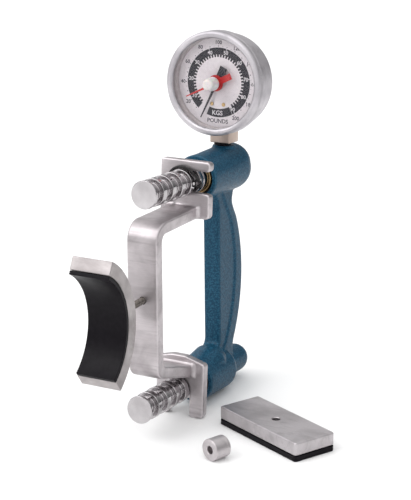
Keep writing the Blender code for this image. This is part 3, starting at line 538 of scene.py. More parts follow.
def make_materials():
    made = {}
    blue = Recipe("hammered_blue_paint", Metallic=0.0, Coat_Weight=0.04, Coat_Roughness=0.3,
                  Specular_IOR_Level=0.12)
    hammer = blue.cells(820.0)
    speckle = blue.noise(1900.0, 2.0)
    base = blue.mixed(blue.spread(hammer, 0.0, 1.0, 0.15, 0.6),
                      (0.021, 0.098, 0.166), (0.006, 0.044, 0.084))
    base = blue.mixed(blue.spread(speckle, 0.0, 0.3, 0.5, 0.8), base, (0.040, 0.130, 0.205))
    # Painted highlight: the paint's colour is made lighter along sharp edges, found by
    # pointiness.
    painted_edge_highlight = blue.edges(0.52, 0.57)
    blue.colour(blue.mixed(painted_edge_highlight, base, (0.070, 0.165, 0.240)))
    blue.roughness(blue.spread(blue.noise(500.0), 0.30, 0.46))
    blue.relief(blue.noise(260.0, 2.0), 0.05)
    made["blue_paint"] = blue.relief(hammer, 0.10).material

    # The bracket's metal gets the painted edge highlight along its sharp edges.
    made["cast_aluminium"] = brushed("tumbled_aluminium", (0.39, 0.36, 0.37),
                                     (0.60, 0.56, 0.575), (0.38, 0.54), (0.12, 2.4, 2.4),
                                     painted_edge_highlight=True)
    made["pad_aluminium"] = brushed("sawn_aluminium", (0.30, 0.275, 0.275),
                                    (0.46, 0.43, 0.43), (0.38, 0.54), (0.2, 1.0, 1.0))
    made["flat_aluminium"] = brushed("milled_aluminium", (0.40, 0.375, 0.385),
                                     (0.56, 0.53, 0.545), (0.36, 0.50), (0.5, 1.6, 1.0),
                                     cloud=30.0)
    made["chrome"] = lathe_turned("polished_post_steel", (0.40, 0.38, 0.39),
                                  (0.52, 0.50, 0.51), (0.10, 0.22), 0.004)
    made["button_metal"] = lathe_turned("turned_aluminium", (0.46, 0.43, 0.44),
                                        (0.62, 0.585, 0.595), (0.38, 0.50))
    made["satin_steel"] = brushed("satin_case_metal", (0.45, 0.43, 0.455),
                                  (0.62, 0.595, 0.62), (0.44, 0.58), (1.0, 1.0, 1.0),
                                  0.002, 35.0)
    made["brass"] = brushed("turned_brass", (0.60, 0.42, 0.20), (0.76, 0.56, 0.30),
                            (0.24, 0.38))
    made["stem_metal"] = brushed("dull_bronze", (0.42, 0.335, 0.29), (0.60, 0.50, 0.44),
                                 (0.42, 0.56), (1.0, 1.0, 0.15))
    made["copper"] = brushed("drawn_copper", (0.62, 0.34, 0.20), (0.78, 0.46, 0.30),
                             (0.28, 0.42))

    for slot, recipe, cloud, tones, patch, gloss, grain, depth in (
            ("black_rubber", Recipe("black_rubber_sheet", Specular_IOR_Level=0.09),
             (320.0, 5.0), ((0.0036, 0.0028, 0.0042), (0.0066, 0.0052, 0.0074)),
             90.0, (0.34, 0.46), (2600.0, 2.0), 0.012),
            ("black_steel", Recipe("blackened_steel", Metallic=0.55),
             (700.0, 4.0, 0.55, 0.75), ((0.018, 0.017, 0.018), (0.070, 0.064, 0.062)),
             400.0, (0.24, 0.44), (1800.0,), 0.01),
            ("stud_steel", Recipe("zinc_plated_stud", Metallic=1.0),
             (600.0, 4.0), ((0.085, 0.075, 0.068), (0.20, 0.18, 0.165)),
             900.0, (0.26, 0.42), (2200.0,), 0.006),
            ("clear_plastic", Recipe("milky_plastic", Subsurface_Weight=0.35,
                                     Subsurface_Scale=0.003, Specular_IOR_Level=0.5,
                                     Coat_Weight=0.4, Coat_Roughness=0.08),
             (380.0,), ((0.58, 0.56, 0.555), (0.64, 0.62, 0.615)),
             700.0, (0.24, 0.36), (1600.0,), 0.004)):
        made[slot] = mottled(recipe, cloud, tones, patch, gloss, grain, depth)

    for slot, tones, gloss in (
            ("black_paint", ((0.020, 0.020, 0.028), (0.032, 0.032, 0.042)), (0.42, 0.55)),
            ("red_paint", ((0.52, 0.018, 0.022), (0.66, 0.035, 0.035)), (0.30, 0.42)),
            ("white_metal", ((0.79, 0.765, 0.785), (0.87, 0.845, 0.865)), (0.40, 0.50)),
            ("print_white", ((0.78, 0.77, 0.79), (0.86, 0.85, 0.87)), (0.42, 0.52)),
            ("print_grey", ((0.035, 0.035, 0.05), (0.06, 0.06, 0.08)), (0.42, 0.52)),
            ("spacer_grey", ((0.60, 0.56, 0.56), (0.72, 0.68, 0.68)), (0.35, 0.5))):
        made[slot] = mottled(Recipe("dial_" + slot), (420.0, 4.0), tones, 300.0, gloss,
                             (2400.0,), 0.003)
    made["clear_glass"] = make_glass()
    return made


def make_glass():
    """Thin window glass: see-through, with a Fresnel reflection and faint smears.
    Known fault: from about 55 degrees off its axis on, the inner face hides the dial."""
    made = Recipe("window_glass")
    made.nodes.remove(made.shader)
    gloss = made.node("BsdfGlossy")
    made.link(made.spread(made.noise(60.0, 4.0, distortion=1.0), 0.02, 0.10),
              gloss.inputs["Roughness"])
    clear = made.node("BsdfTransparent")
    clear.inputs["Color"].default_value = (0.985, 0.975, 0.98, 1.0)
    fresnel = made.node("Fresnel", IOR=1.22)
    mix = made.node("MixShader")
    made.link(fresnel.outputs[0], mix.inputs[0])
    made.link(clear.outputs[0], mix.inputs[1])
    made.link(gloss.outputs[0], mix.inputs[2])
    made.link(mix.outputs[0], made.nodes["Material Output"].inputs["Surface"])
    return made.material


MATERIALS = make_materials()
LATHED = ("chrome", "button_metal")          # their rings run about the piece's own axis


def show(item, body, slot, nodes=(), look=None):
    """Gives a piece its material, its body and the CAD nodes that it stands for."""
    if (look or slot) not in LATHED:
        item.data.transform(item.matrix_world)
        item.matrix_world = Matrix.Identity(4)
    item.data.materials.clear()
    item.data.materials.append(MATERIALS[look or slot])
    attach(item, body)
    if nodes:
        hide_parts(*nodes)
    return item


# ---- body casting

def palm_rim():
    def on(circle, z):
        centre_y, centre_z, radius = circle
        return centre_y + math.sqrt(radius ** 2 - (z - centre_z) ** 2)

    low = flowing([(RIM_BOTTOM, 0.0), (6.0, 6.0), (10.0, 4.4), (14.0, 1.4), (19.0, 0.0)], 4)
    high = flowing([(113.0, -0.6), (119.0, -1.6), (124.5, -1.0), (129.0, 3.0),
                    (RIM_TOP, 12.0)], 4)
    count = 44
    middle = [low[-1][0] + (high[0][0] - low[-1][0]) * i / count for i in range(1, count)]
    back = [(on(RIM_OUTER, z) + flare, z) for z, flare in low]
    back += [(on(RIM_OUTER, z) - 0.6 * i / len(middle), z) for i, z in enumerate(middle)]
    back += [(on(RIM_OUTER, z) + flare, z) for z, flare in high]
    front = [(on(RIM_INNER, z), z) for z in [RIM_TOP] + middle[::-1] + [RIM_BOTTOM]]
    rim = plate("palm_rim_form", [back + front], RIM_HALF_WIDTH)
    bm = bmesh.new()
    bm.from_mesh(rim.data)
    centre = Vector(RIM_OUTER[:2]) * MM
    edges = [e for e in bm.edges
             if all(-3.9 * MM < v.co.y < 137.9 * MM and (v.co.xy - centre).length > 104 * MM
                    for v in e.verts)
             and abs(e.verts[0].co.z - e.verts[1].co.z) < 1e-6
             and len(e.link_faces) == 2 and e.calc_face_angle() > 1.0]
    bmesh.ops.bevel(bm, geom=edges, offset=RIM_ROUNDING * MM, segments=6, profile=0.5,
                    affect="EDGES")
    bm.to_mesh(rim.data)
    bm.free()
    return place(rim, rotation=SIDE)


def dome_end(radius, centre):
    """The profile of a boss's round end."""
    return arc((0, centre), radius, 0, 80, 11) + [(0, centre + radius)]


def body_casting():
    """Two bosses with the grip web and palm rim between them, cast in one and painted."""
    front = [(30.8, 133.5), (36.2, 129.0), (39.3, 122.5), (40.0, 114.0)]
    foot = [(47.6, 23.0), (46.2, 20.0), (42.9, 17.5), (36.0, 14.0)]
    web = [(24.0, 146.0)] + flowing(front) + flowing(foot) + [(35.0, 5.5)]
    web += arc(RIM_INNER[:2], RIM_INNER[2] + 6.0, -31.5, 37.5, 24)
    body = bevelled(plate("grip_and_head_casting", [web], WEB_HALF_WIDTH), WEB_ROUNDING, 6)
    settle(place(body, rotation=SIDE), None)

    dome = dome_end(BOSS_RADIUS, DOME_CENTRE)
    chamfer = [(BOSS_RADIUS - 0.5, UPPER_FRONT), (BOSS_RADIUS, UPPER_FRONT + 0.5)]
    upper = place(front_turned("upper_boss", [(0, UPPER_FRONT)] + chamfer + dome),
                  (0, 0, POST_SPACING), FRONT)
    shrink = SHOULDER_RADIUS / BOSS_RADIUS
    shoulder = front_turned("upper_shoulder", [(0, 4), (SHOULDER_RADIUS, 4)]
                            + [(radius * shrink, y - UPPER_FRONT) for radius, y in dome])
    place(shoulder, (0, UPPER_FRONT, POST_SPACING), (math.pi / 2 + math.radians(2.9), 0.02, 0))

    lower = front_turned("lower_boss", [
        (0, LOWER_FRONT), (BOSS_RADIUS - 0.5, LOWER_FRONT), (BOSS_RADIUS, LOWER_FRONT + 0.5),
        (BOSS_RADIUS, LOWER_BACK - 4.2), (BOSS_RADIUS - 1.2, LOWER_BACK - 1.4),
        (BOSS_RADIUS - 4.2, LOWER_BACK), (0, LOWER_BACK)])
    place(lower, rotation=FRONT)
    swell = front_turned("lower_swell", [(0, 0.8), (13.4, 0.8), (13.4, 26), (11.4, 32),
                                         (7.4, 36), (0, 38)])
    place(swell, (0, LOWER_FRONT, 1.8), (math.pi / 2 + math.radians(12), 0.02, 0))
    lobe = front_turned("lower_lobe", [(0, LOWER_BACK - 6), (LOBE_RADIUS, LOWER_BACK - 6)]
                        + dome_end(LOBE_RADIUS, LOBE_CENTRE))
    place(lobe, rotation=(math.pi / 2, 0.04, 0))
    stem_pad = turned("stem_pad", [(0, STEM_PAD_TOP), (8.0, STEM_PAD_TOP), (9.5, 0), (0, 0)])
    place(stem_pad, (0, STEM_Y, POST_SPACING), (0, 0, 0.03))
    gathered(body, [palm_rim(), upper, shoulder, lower, swell, lobe, stem_pad])
    melted(body, 0.7, 7)

    cylinder = front_turned("cylinder_bore", softened([
        (0, UPPER_FRONT - 4), (COUNTERBORE, UPPER_FRONT - 4), (COUNTERBORE, 31.3),
        (9.85, 31.3), (9.85, 57.0), (0, 57.0)], 0.4, 3))
    place(cylinder, (0, 0, POST_SPACING), FRONT)
    seat = front_turned("post_seat", [
        (0, LOWER_FRONT - 4), (COUNTERBORE, LOWER_FRONT - 4), (COUNTERBORE, 31.0),
        (6.3, 31.0), (6.3, 51.5), (0, 51.5)])
    place(seat, rotation=FRONT)
    screw_hole = place(turned("set_screw_hole", rod(2.8, -4, -20), 48), (0, 41.0, 0))
    passage = place(turned("neck_hole", rod(4.9, 22, 12), 48), NECK_PLACE)
    boolean(body, [cylinder, seat, screw_hole, passage], "DIFFERENCE", "MANIFOLD")
    settle(body, 50)
    show(body, "instrument", "blue_paint", ["body_casting"])


# ---- posts and their rings

def post_front():
    """The post's outline from its front face to behind the innermost groove."""
    profile = [(0, POST_FRONT), (POST_RADIUS, POST_FRONT)]
    for index in range(4, -1, -1):
        start = -index * GROOVE_PITCH - GROOVE_WIDTH / 2
        end = start + GROOVE_WIDTH
        profile += [(POST_RADIUS, start), (GROOVE_CORE, start)]
        for i in range(1, 8):
            y = start + GROOVE_WIDTH * i / 8
            profile.append((GROOVE_CORE + (0.16 if i % 2 else 0.0), y))
        profile += [(GROOVE_CORE, end), (POST_RADIUS, end)]
    return profile + [(POST_RADIUS, 8.75), (8.8, 8.75), (8.8, 10.2), (POST_RADIUS, 10.2)]


def posts():
    upper = post_front() + [(POST_RADIUS, 44.0), (7.4, 44.0), (7.4, 47.6), (POST_RADIUS, 47.6),
                            (POST_RADIUS, 52.0), (0, 52.0)]
    lower = post_front() + [(POST_RADIUS, 30.7), (6.0, 30.7), (6.0, 50.0), (0, 50.0)]
    for name, profile, height, body, node in (
            ("upper_force_post", upper, POST_SPACING, "piston_post", "upper_post"),
            ("lower_fixed_post", lower, 0, "instrument", "lower_post")):
        post = front_turned(name, softened(profile, 0.45, 4), 128)
        settle(place(post, (0, 0, height), FRONT), 55)
        show(post, body, "chrome", [node])


def hydraulic_rings():
    pieces = (
        ("brass_guide_bush", ring(16.4, 31.0, 9.8, 10.8), POST_SPACING, "brass", "guide_bush"),
        ("gland_nut_ring", ring(20.4, 30.6, 11.1, 12.5), POST_SPACING, "black_steel",
         "gland_ring"),
        ("lower_post_seal", ring(23.0, 30.7, 9.825, 12.5), 0, "black_rubber",
         "lower_dust_seal"))
    for name, profile, height, slot, node in pieces:
        item = front_turned(name, softened(profile, 0.3, 4, True), 128, closed=True)
        settle(place(item, (0, 0, height), FRONT))
        show(item, "instrument", slot, [node])


# ---- gauge

def on_gauge(item, y=0, clockwise=0, x=0, z=0):
    return place(item, (x, y, GAUGE_Z + z), (math.pi / 2, math.radians(clockwise), 0))


def gauge_stem():
    bottom = STEM_PAD_TOP + 2.0
    stem = block("gauge_socket_block", (15.0, 15.0, 13.0), (0, 0, 6.5))
    place(stem, (0, STEM_Y, POST_SPACING + bottom))
    settle(bevelled(stem, 0.8, 4), None)
    neck = place(turned("neck", softened(rod(4.3, bottom + 1, 13.5), 0.2), 64), NECK_PLACE)
    seat = place(block("tube_seat", (8.0, 6.0, 12.0)),
                 (1.9, 53.6, POST_SPACING + bottom + 17.0))
    settle(boolean(stem, [neck, seat], "UNION"))
    show(stem, "instrument", "brass", ["gauge_stem"], "stem_metal")

    middle = STEM_PAD_TOP + 1.0
    section = [(5.35 + 0.75 * x, middle + 0.85 * z) for x, z in arc((0, 0), 1, 0, 340, 18)]
    o_ring = place(turned("stem_sealing_ring", section, 72, True), NECK_PLACE)
    show(settle(o_ring, None), "instrument", "black_rubber", ["stem_o_ring"])


def gauge_case():
    outer = [(33.6, 43.0), (33.6, 56.0)] + arc((25.6, 60.0), 8.0, 0, 84, 9) + [(0, 68.0)]
    inner = [(0, 66.4), (24.0, 66.4), (29.9, 63.0), (31.4, 59.6), (32.0, 56.0), (32.0, 43.0)]
    case = front_turned("gauge_case_cup", outer + inner, 160, True)
    on_gauge(case)
    slot = place(block("stem_slot", (15.6, 15.6, 30.0)), (0, STEM_Y, GAUGE_Z - 37.0))
    settle(boolean(case, [slot], "DIFFERENCE"), 32)
    show(case, "instrument", "satin_steel", ["gauge_case"])


def bezel():
    """The screwed ring round the window, with fine reeding round its side."""
    profile = [(31.3, 37.2), (31.9, 36.2), (32.9, 35.6), (34.4, 35.6), (35.5, 36.0),
               (36.1, 37.0), (BEZEL_RADIUS, 38.3), (35.9, 38.5), (35.9, 41.2),
               (BEZEL_RADIUS, 41.4), (BEZEL_RADIUS, 47.7), (35.5, 48.5), (33.9, 48.5),
               (33.9, 42.7), (34.5, 42.7), (34.5, 38.2), (31.3, 38.2)]
    item = front_turned("reeded_bezel_ring", softened(profile, 0.5, 3, True), 880, True)
    settle(on_gauge(item), 50)
    for vertex in item.data.vertices:
        x, y, z = vertex.co / MM
        radius = math.hypot(x, y)
        if REEDING[0] < -z < REEDING[1] and radius > 35.8:
            ridge = REED_HEIGHT * (0.5 + 0.5 * math.cos(REEDS * math.atan2(y, x)))
            vertex.co = (x * MM * (1 + ridge / radius), y * MM * (1 + ridge / radius), z * MM)
    show(item, "instrument", "satin_steel", ["gauge_bezel"])


def dial_side():
    pieces = (
        ("window_pane", softened(ring(38.5, 40.0, 2.7, 34.0), 0.2, 3, True), "clear_glass",
         "gauge_lens", None),
        ("window_gasket", softened(ring(40.3, 41.2, 32.8, 34.1), 0.3, 3, True),
         "black_rubber", "lens_gasket", "spacer_grey"),
        ("dial_spacer", softened([(34.0, 41.5), (34.0, 42.6), (31.8, 42.6), (31.8, 45.2),
                                  (31.0, 45.2), (31.2, 42.2), (32.9, 41.5)], 0.15, 3, True),
         "white_metal", "dial_spacer_ring", "spacer_grey"),
        ("dial_face", softened(ring(DIAL_FRONT, DIAL_FRONT + 0.7, 1.7, 31.2), 0.15, 3, True),
         "white_metal", "dial_plate", None))
    for name, profile, slot, node, look in pieces:
        item = settle(on_gauge(front_turned(name, profile, 160, True)))
        show(item, "instrument", slot, [node], look)
    for side, x in (("left", -DIAL_SCREW_X), ("right", DIAL_SCREW_X)):
        head = [(0, 44.6), (1.1, 44.7), (1.5, 45.2), (0.9, 45.2), (0.9, 48.0), (0, 48.0)]
        screw = front_turned("dial_screw_head_" + side, softened(head, 0.15), 48)
        on_gauge(screw, x=x, z=-DIAL_SCREW_DROP)
        slot = place(block("slot", (3.6, 0.9, 0.4)), (x, 44.6, GAUGE_Z - DIAL_SCREW_DROP),
                     (math.pi / 2, 0.5 if x > 0 else -0.9, 0))
        settle(boolean(screw, [slot], "DIFFERENCE"))
        show(screw, "instrument", "brass", ["dial_screw_" + side])


def wedge(start, end, inner, outer):
    """The outline of part of a ring on the dial, its angles clockwise from twelve."""
    count = max(2, int((end - start) / 2) + 1)
    angles = [start + (end - start) * i / (count - 1) for i in range(count)]
    return ([clock(a, outer) for a in angles] + [clock(a, inner) for a in reversed(angles)])


def printed(name, outlines, look, front=DIAL_FRONT):
    item = on_gauge(plate(name, outlines, PRINT_HALF), front - PRINT_LIFT)
    return show(settle(item), "instrument", "black_paint", (), look)


def lettering(name, words, look, front=DIAL_FRONT):
    """Words as (text, x, z, height) in one thin piece on the dial."""
    bm = bmesh.new()
    for text, x, z, height in words:
        curve = bpy.data.curves.new(name, "FONT")
        curve.body = text
        curve.size = height * 1.4 * MM
        curve.align_x, curve.align_y = "CENTER", "CENTER"
        curve.extrude = PRINT_HALF * MM
        curve.offset = 0.06 * MM
        curve.resolution_u = 3
        source = added(name, curve)
        mesh = evaluated_mesh(source)
        bpy.data.objects.remove(source)
        mesh.transform(Matrix.Translation(Vector((x, z, 0)) * MM))
        bm.from_mesh(mesh)
        bpy.data.meshes.remove(mesh)
    item = on_gauge(mesh_object(name, bm), front - PRINT_LIFT)
    return show(settle(item), "instrument", "black_paint", (), look)


def dial_print():
    zero = ZERO_ANGLE + 1.5
    band = wedge(zero + 12.0, zero + 305.0, BAND_INNER, BAND_OUTER)
    printed("scale_band", [band], "black_paint")
    printed("unit_label", [wedge(152.0, 200.5, BAND_INNER - 1.0, BAND_OUTER)], "black_paint",
            DIAL_FRONT - 0.03)
    teeth = []
    for kg in range(5, 91, 2):
        angle = zero + DEGREES_PER_KG * kg
        teeth.append([clock(angle - 2.3, 19.6), clock(angle + 2.3, 19.6),
                      clock(angle + 2.0, TOOTH_TIP), clock(angle - 2.0, TOOTH_TIP)])
    printed("kilogram_teeth", teeth, "black_paint")
    tens = [zero + DEGREES_PER_KG * kg for kg in range(10, 100, 10)]
    printed("kilogram_ten_marks", [[clock(a - 0.5, 23.1), clock(a + 0.5, 23.1),
                                    clock(a + 0.5, 24.3), clock(a - 0.5, 24.3)] for a in tens],
            "print_white", DIAL_FRONT - 0.03)
    dots = []
    for lb in range(10, 205, 5):
        x, z = clock(zero + DEGREES_PER_LB * lb, LB_DOTS)
        size = 0.36 if lb % 10 == 0 else 0.2
        dots.append(arc((x, z), size, 0, 324, 10))
    printed("pound_dots", dots, "print_grey")
    numbers = [(str(kg), *clock(angle, KG_NUMBERS), 2.6)
               for kg, angle in zip(range(10, 100, 10), tens)]
    lettering("kilogram_numbers", numbers + [("KGS", -0.2, -KG_NUMBERS, 3.2)],
              "print_white", DIAL_FRONT - 0.08)
    numbers = [(str(lb), *clock(zero + DEGREES_PER_LB * lb, LB_NUMBERS), 2.6)
               for lb in range(20, 220, 20)]
    lettering("pound_numbers", numbers + [("POUNDS", 0.2, -26.9, 2.9)], "print_grey")


def pointers():
    needle = [(-2.8, -12.2), (2.8, -12.2), (2.2, 0), (0.9, 6), (0.35, 27.6), (-0.35, 27.6),
              (-0.9, 6), (-2.2, 0)]
    live = plate("force_pointer", [needle, arc((0, 0), 1.3, 0, 348, 30)], 0.25)
    on_gauge(live, POINTER_Y, ZERO_ANGLE)
    show(settle(bevelled(live, 0.06, 2)), "pointer", "black_paint", ["live_pointer"])
    arbor = front_turned("pointer_shaft", softened([
        (0, 41.6), (0.8, 41.6), (1.0, 42.6), (1.0, 51.2), (1.6, 51.2), (1.6, 54.8),
        (1.0, 54.8), (1.0, 58.2), (0, 58.2)], 0.1), 48)
    show(settle(on_gauge(arbor)), "pointer", "brass", ["pointer_arbor"])

    peak = [(-2.2, -13.0), (2.2, -13.0), (2.2, -2), (0.9, 4), (0.35, 25.2), (-0.35, 25.2),
            (-0.9, 4), (-2.2, -2)]
    hand = plate("peak_force_pointer", [peak], 0.2)
    on_gauge(hand, PEAK_Y, PEAK_ANGLE)
    hub = plate("hub", [arc((0, 0), 5.7, 0, 354, 60)], 0.23)
    hole = plate("hole", [arc((0, 0), 1.2, 0, 348, 30)], 1.0)
    for form in (hub, hole):
        on_gauge(form, PEAK_Y)
    boolean(boolean(hand, [hub], "UNION"), [hole], "DIFFERENCE")
    show(settle(bevelled(hand, 0.05, 2)), "peak_hand", "red_paint", ["peak_pointer"])
    knob = [(0, 27.5), (3.9, 27.5), (4.8, 34.0), (4.8, 37.6), (2.4, 37.9), (2.2, 40.4),
            (0.9, 40.4), (0.9, 41.3), (0, 41.3)]
    knob = front_turned("peak_reset_button", softened(knob, 2.4, 9), 96)
    show(settle(on_gauge(knob)), "peak_hand", "clear_plastic", ["peak_reset_knob"])


# ---- bracket

def bar_y(z):
    return BAR_MIDDLE[0] - math.tan(BAR_TILT) * (z - BAR_MIDDLE[1])


def weld(low, high):
    """The bead round an arm's end, flaring onto the front of its fork plate."""
    face, half = -FORK_THICKNESS / 2, BAR_WIDTH / 2
    bm = skin([(-x, y, bottom), (x, y, bottom), (x, y, top), (-x, y, top)]
              for y, x, bottom, top in ((face + 1.0, half + 1.8, low, high),
                                        (face, half + 1.8, low, high),
                                        (face - 1.8, half + 0.1, low + 0.5, high - 1.8)))
    bmesh.ops.recalc_face_normals(bm, faces=bm.faces)
    return place(mesh_object("weld", bm))


def fork(name, corners, start, slot_end):
    """A fork plate, the round end of whose slot follows the corner at start."""
    outline = []
    for point in rounded(corners):
        outline.append(point)
        if point == start:
            outline += slot_end[1:-1]
    return place(plate(name, [outline], FORK_THICKNESS / 2), rotation=FRONT)


def lower_fork():
    left, right = FORK_X
    centre, half, slot_end, drop, top = 1.0, 7.9, 0.4, -18.8, 24.5
    corners = [(left, drop, 3.0), (centre - half, drop, 2.5), (centre - half, slot_end, 0),
               (centre + half, slot_end, 0), (centre + half, drop, 2.5), (right, drop, 3.0),
               (right, top - 4.4, 2.5), (5.0, top, 12.0), (-6.0, top, 12.0),
               (left, top - 3.0, 2.5)]
    return fork("lower_fork", corners, (centre - half, slot_end),
                arc((centre, slot_end), half, 180, 0, 31))


def upper_fork():
    left, right = FORK_X
    low, high, slot_low, slot_high = 122.5, 161.8, 139.9, 155.0
    half = (slot_high - slot_low) / 2
    corners = [(left, low, 1.5), (right, low, 3.0), (right, slot_low, 2.5), (0.0, slot_low, 0),
               (0.0, slot_high, 0), (right, slot_high, 2.5), (right, high, 2.5),
               (left, high, 2.0)]
    return fork("upper_fork", corners, (0.0, slot_low),
                arc((0.0, slot_low + half), half, 270, 90, 31))


def stud_place():
    """Where the stud's axis meets the bar's centre line, and its rotation."""
    arc_y, arc_z = PAD_ARC_CENTRE
    z = arc_z + (BAR_MIDDLE[0] - arc_y) * math.tan(BAR_TILT)
    return (0.0, bar_y(z), z), (math.pi / 2 + BAR_TILT, 0, 0)


def bracket():
    """A bent flat bar with a fork plate welded to each end, tumbled smooth."""
    path = [(0.0, 126.6), (bar_y(123.7), 123.7), (bar_y(25.1), 25.1), (0.0, 13.4)]
    outside, inside = (side_of(path, side * BAR_THICKNESS / 2) for side in (-1, 1))
    corners = [(*p, r) for p, r in zip(outside, (0, 13.0, 9.5, 0))]
    corners += [(*p, r) for p, r in zip(reversed(inside), (0, 4.0, 5.0, 0))]
    bar = plate("push_bracket_bar", [rounded(corners, 24)], BAR_WIDTH / 2)
    settle(bevelled(place(bar, rotation=SIDE), 1.0, 3, 50), None)
    gathered(bar, [lower_fork(), upper_fork(), weld(10.2, 20.3), weld(123.0, 131.6)])
    melted(bar, 0.55, 9)
    where, rotation = stud_place()
    stud_hole = place(turned("hole", rod(STUD_HOLE, 12, -12), 48), where, rotation)
    screw_hole = place(front_turned("hole", rod(1.5, -6, 2.2), 32),
                       (CLIP_PIVOT[0], 0, CLIP_PIVOT[2]), FRONT)
    boolean(bar, [stud_hole, screw_hole], "DIFFERENCE", "MANIFOLD")
    show(settle(bar, 60), "bracket", "cast_aluminium", ["push_bracket"])


def threaded(name, radius, depth, pitch, length):
    """A screw thread about Z from 0 to length, with its tip chamfered."""
    around, steps = 40, int(length / pitch * 10)
    rows = []
    for j in range(steps + 1):
        z = length * j / steps
        row = []
        for i in range(around):
            turn = i / around
            phase = (z / pitch - turn) % 1.0
            r = radius - depth * (1 - abs(2 * phase - 1))
            r = min(r, radius - 0.9 + (length - z))
            angle = 2 * math.pi * turn
            row.append((r * math.cos(angle), r * math.sin(angle), z))
        rows.append(row)
    return mesh_object(name, skin(rows))


def stud_and_clip():
    where, rotation = stud_place()
    reach = math.hypot(where[1] - PAD_ARC_CENTRE[0], where[2] - PAD_ARC_CENTRE[1])
    length = reach - PAD_OUTER + 5.4 + BAR_THICKNESS / 2 - 0.4
    stud = threaded("threaded_pad_stud", 2.45, 0.42, 1.27, length)
    stud.data.transform(Matrix.Translation((0, 0, (0.4 - BAR_THICKNESS / 2) * MM)))
    show(settle(place(stud, where, rotation), 60), "bracket", "black_steel", ["pad_stud"],
         "stud_steel")

    centre = (-CLIP_PIVOT[0], POST_SPACING - CLIP_PIVOT[2])
    flat = [(6.4, -13.8), (4.2, -11.6), (1.6, -8.0), (-1.0, -4.6)]
    flat += arc((0, 0), 2.7, 215, 50, 8) + arc(centre, 11.0, 148, 44, 11)
    path = [(x, 0.0, z) for x, z in flat]
    turn_in = arc(centre, 11.0, 36, 20, 3)
    path += [(x, depth, z) for (x, z), depth in zip(turn_in, (0.4, 1.3, 2.2))]
    path += [(x, 2.4, z) for x, z in arc((centre[0] + 10.9, centre[1]), 2.3, 110, 440, 10)]
    clip = place(wire("wire_retaining_clip", flowing(path, 5), 0.95, 5), CLIP_PIVOT)
    show(settle(clip), "clip", "black_steel", ["retaining_clip"])

    head = [(0, -6.9), (2.4, -6.9), (2.4, -6.1), (1.2, -6.1), (1.2, 1.5), (0, 1.5)]
    screw = place(front_turned("clip_pivot_screw", softened(head, 0.35), 48),
                  (CLIP_PIVOT[0], 0, CLIP_PIVOT[2]), FRONT)
    slot = place(block("slot", (6.0, 0.7, 0.7)), (CLIP_PIVOT[0], -6.9, CLIP_PIVOT[2]),
                 (math.pi / 2, 0.6, 0))
    settle(boolean(screw, [slot], "DIFFERENCE"))
    show(screw, "bracket", "black_steel", ["clip_screw"])


# ---- pads

def curved_pad():
    low, high = PAD_ARC
    offset = (0, *PAD_ARC_CENTRE)

    def band(inner, outer, trim=0.0):
        return (arc((0, 0), outer, low + trim, high - trim, 72)
                + arc((0, 0), inner, high - trim, low + trim, 72))

    backing = plate("curved_pad_backing", [band(PAD_INNER, PAD_OUTER)], PAD_HALF_WIDTH)
    settle(bevelled(place(backing, offset, SIDE), 0.55, 3), None)
    hole = turned("hole", rod(STUD_HOLE, PAD_OUTER + 4, PAD_OUTER - 6.2), 48)
    place(hole, offset, (-math.pi / 2 + BAR_TILT, 0, 0))
    settle(boolean(backing, [hole], "DIFFERENCE"))
    show(backing, "curved_pad", "cast_aluminium", ["curved_pad_plate"], "pad_aluminium")
    lining = plate("curved_pad_lining", [band(PAD_INNER - PAD_RUBBER, PAD_INNER - GAP, 0.25)],
                   PAD_HALF_WIDTH - 0.2)
    settle(bevelled(place(lining, offset, SIDE), 0.4, 3))
    show(lining, "curved_pad", "black_rubber", ["curved_pad_rubber"])


def flat_pad():
    length, width, height = FLAT_PAD
    floor = FLAT_PAD_RUBBER + GAP

    def slab(name, size, bottom, corner, edge):
        x, y = size[0] / 2, size[1] / 2
        outline = rounded([(-x, -y, corner), (x, -y, corner), (x, y, corner), (-x, y, corner)])
        item = plate(name, [outline], size[2] / 2)
        place(item, (0, 0, bottom + size[2] / 2), base=FLAT_PAD_FRAME)
        return settle(bevelled(item, edge, 4, 60), None)

    body = slab("flat_pad_metal", FLAT_PAD, floor, 2.0, 1.1)
    top, bottom = height / 2, height / 2 - 7.0
    hole = [(0, height), (STUD_HOLE + 2, height), (STUD_HOLE + 0.4, top),
            (STUD_HOLE, top - 0.4), (STUD_HOLE, bottom), (0, bottom)]
    hole = turned("hole", softened(hole, 0.1, 2), 64)
    place(hole, (0, 0, floor + height / 2), base=FLAT_PAD_FRAME)
    settle(boolean(body, [hole], "DIFFERENCE"))
    show(body, "flat_pad", "cast_aluminium", ["flat_pad_block"], "flat_aluminium")
    rubber = slab("flat_pad_sole", (length, width, FLAT_PAD_RUBBER), 0.0, 2.0, 0.35)
    show(settle(rubber), "flat_pad", "black_rubber", ["flat_pad_rubber"])


def button_pad():
    half = BUTTON_LENGTH / 2
    profile = [(0, 7.0 - half), (STUD_HOLE - 0.1, 7.0 - half), (STUD_HOLE - 0.1, 0.5 - half),
               (STUD_HOLE + 0.4, -half), (BUTTON_RADIUS, -half), (BUTTON_RADIUS, half - 3.0),
               (BUTTON_RADIUS - 0.14, half - 2.85), (BUTTON_RADIUS - 0.14, half - 2.6),
               (BUTTON_RADIUS, half - 2.45), (BUTTON_RADIUS, half), (0, half)]
    item = front_turned("round_button_pad", softened(profile, 0.7, 5), 128)
    settle(place(item, rotation=FRONT, base=BUTTON_FRAME), 50)
    show(item, "round_pad", "cast_aluminium", ["button_pad"], "button_metal")


# ---- kept CAD pieces

def dress_hidden_pieces():
    """Inner pieces keep their CAD shape and get the finish of their slot."""
    slots = {entry["node"]: entry["material_slot"] for entry in frame["record"]["subparts"]}
    for name in ("piston_seal", "lower_post_set_screw", "bourdon_tube", "movement_front_plate",
                 "movement_back_plate", "sector_gear", "connecting_link", "hairspring"):
        node = frame["nodes"][name]
        node.data.materials.clear()
        node.data.materials.append(MATERIALS[slots[name]])


# ---- studio

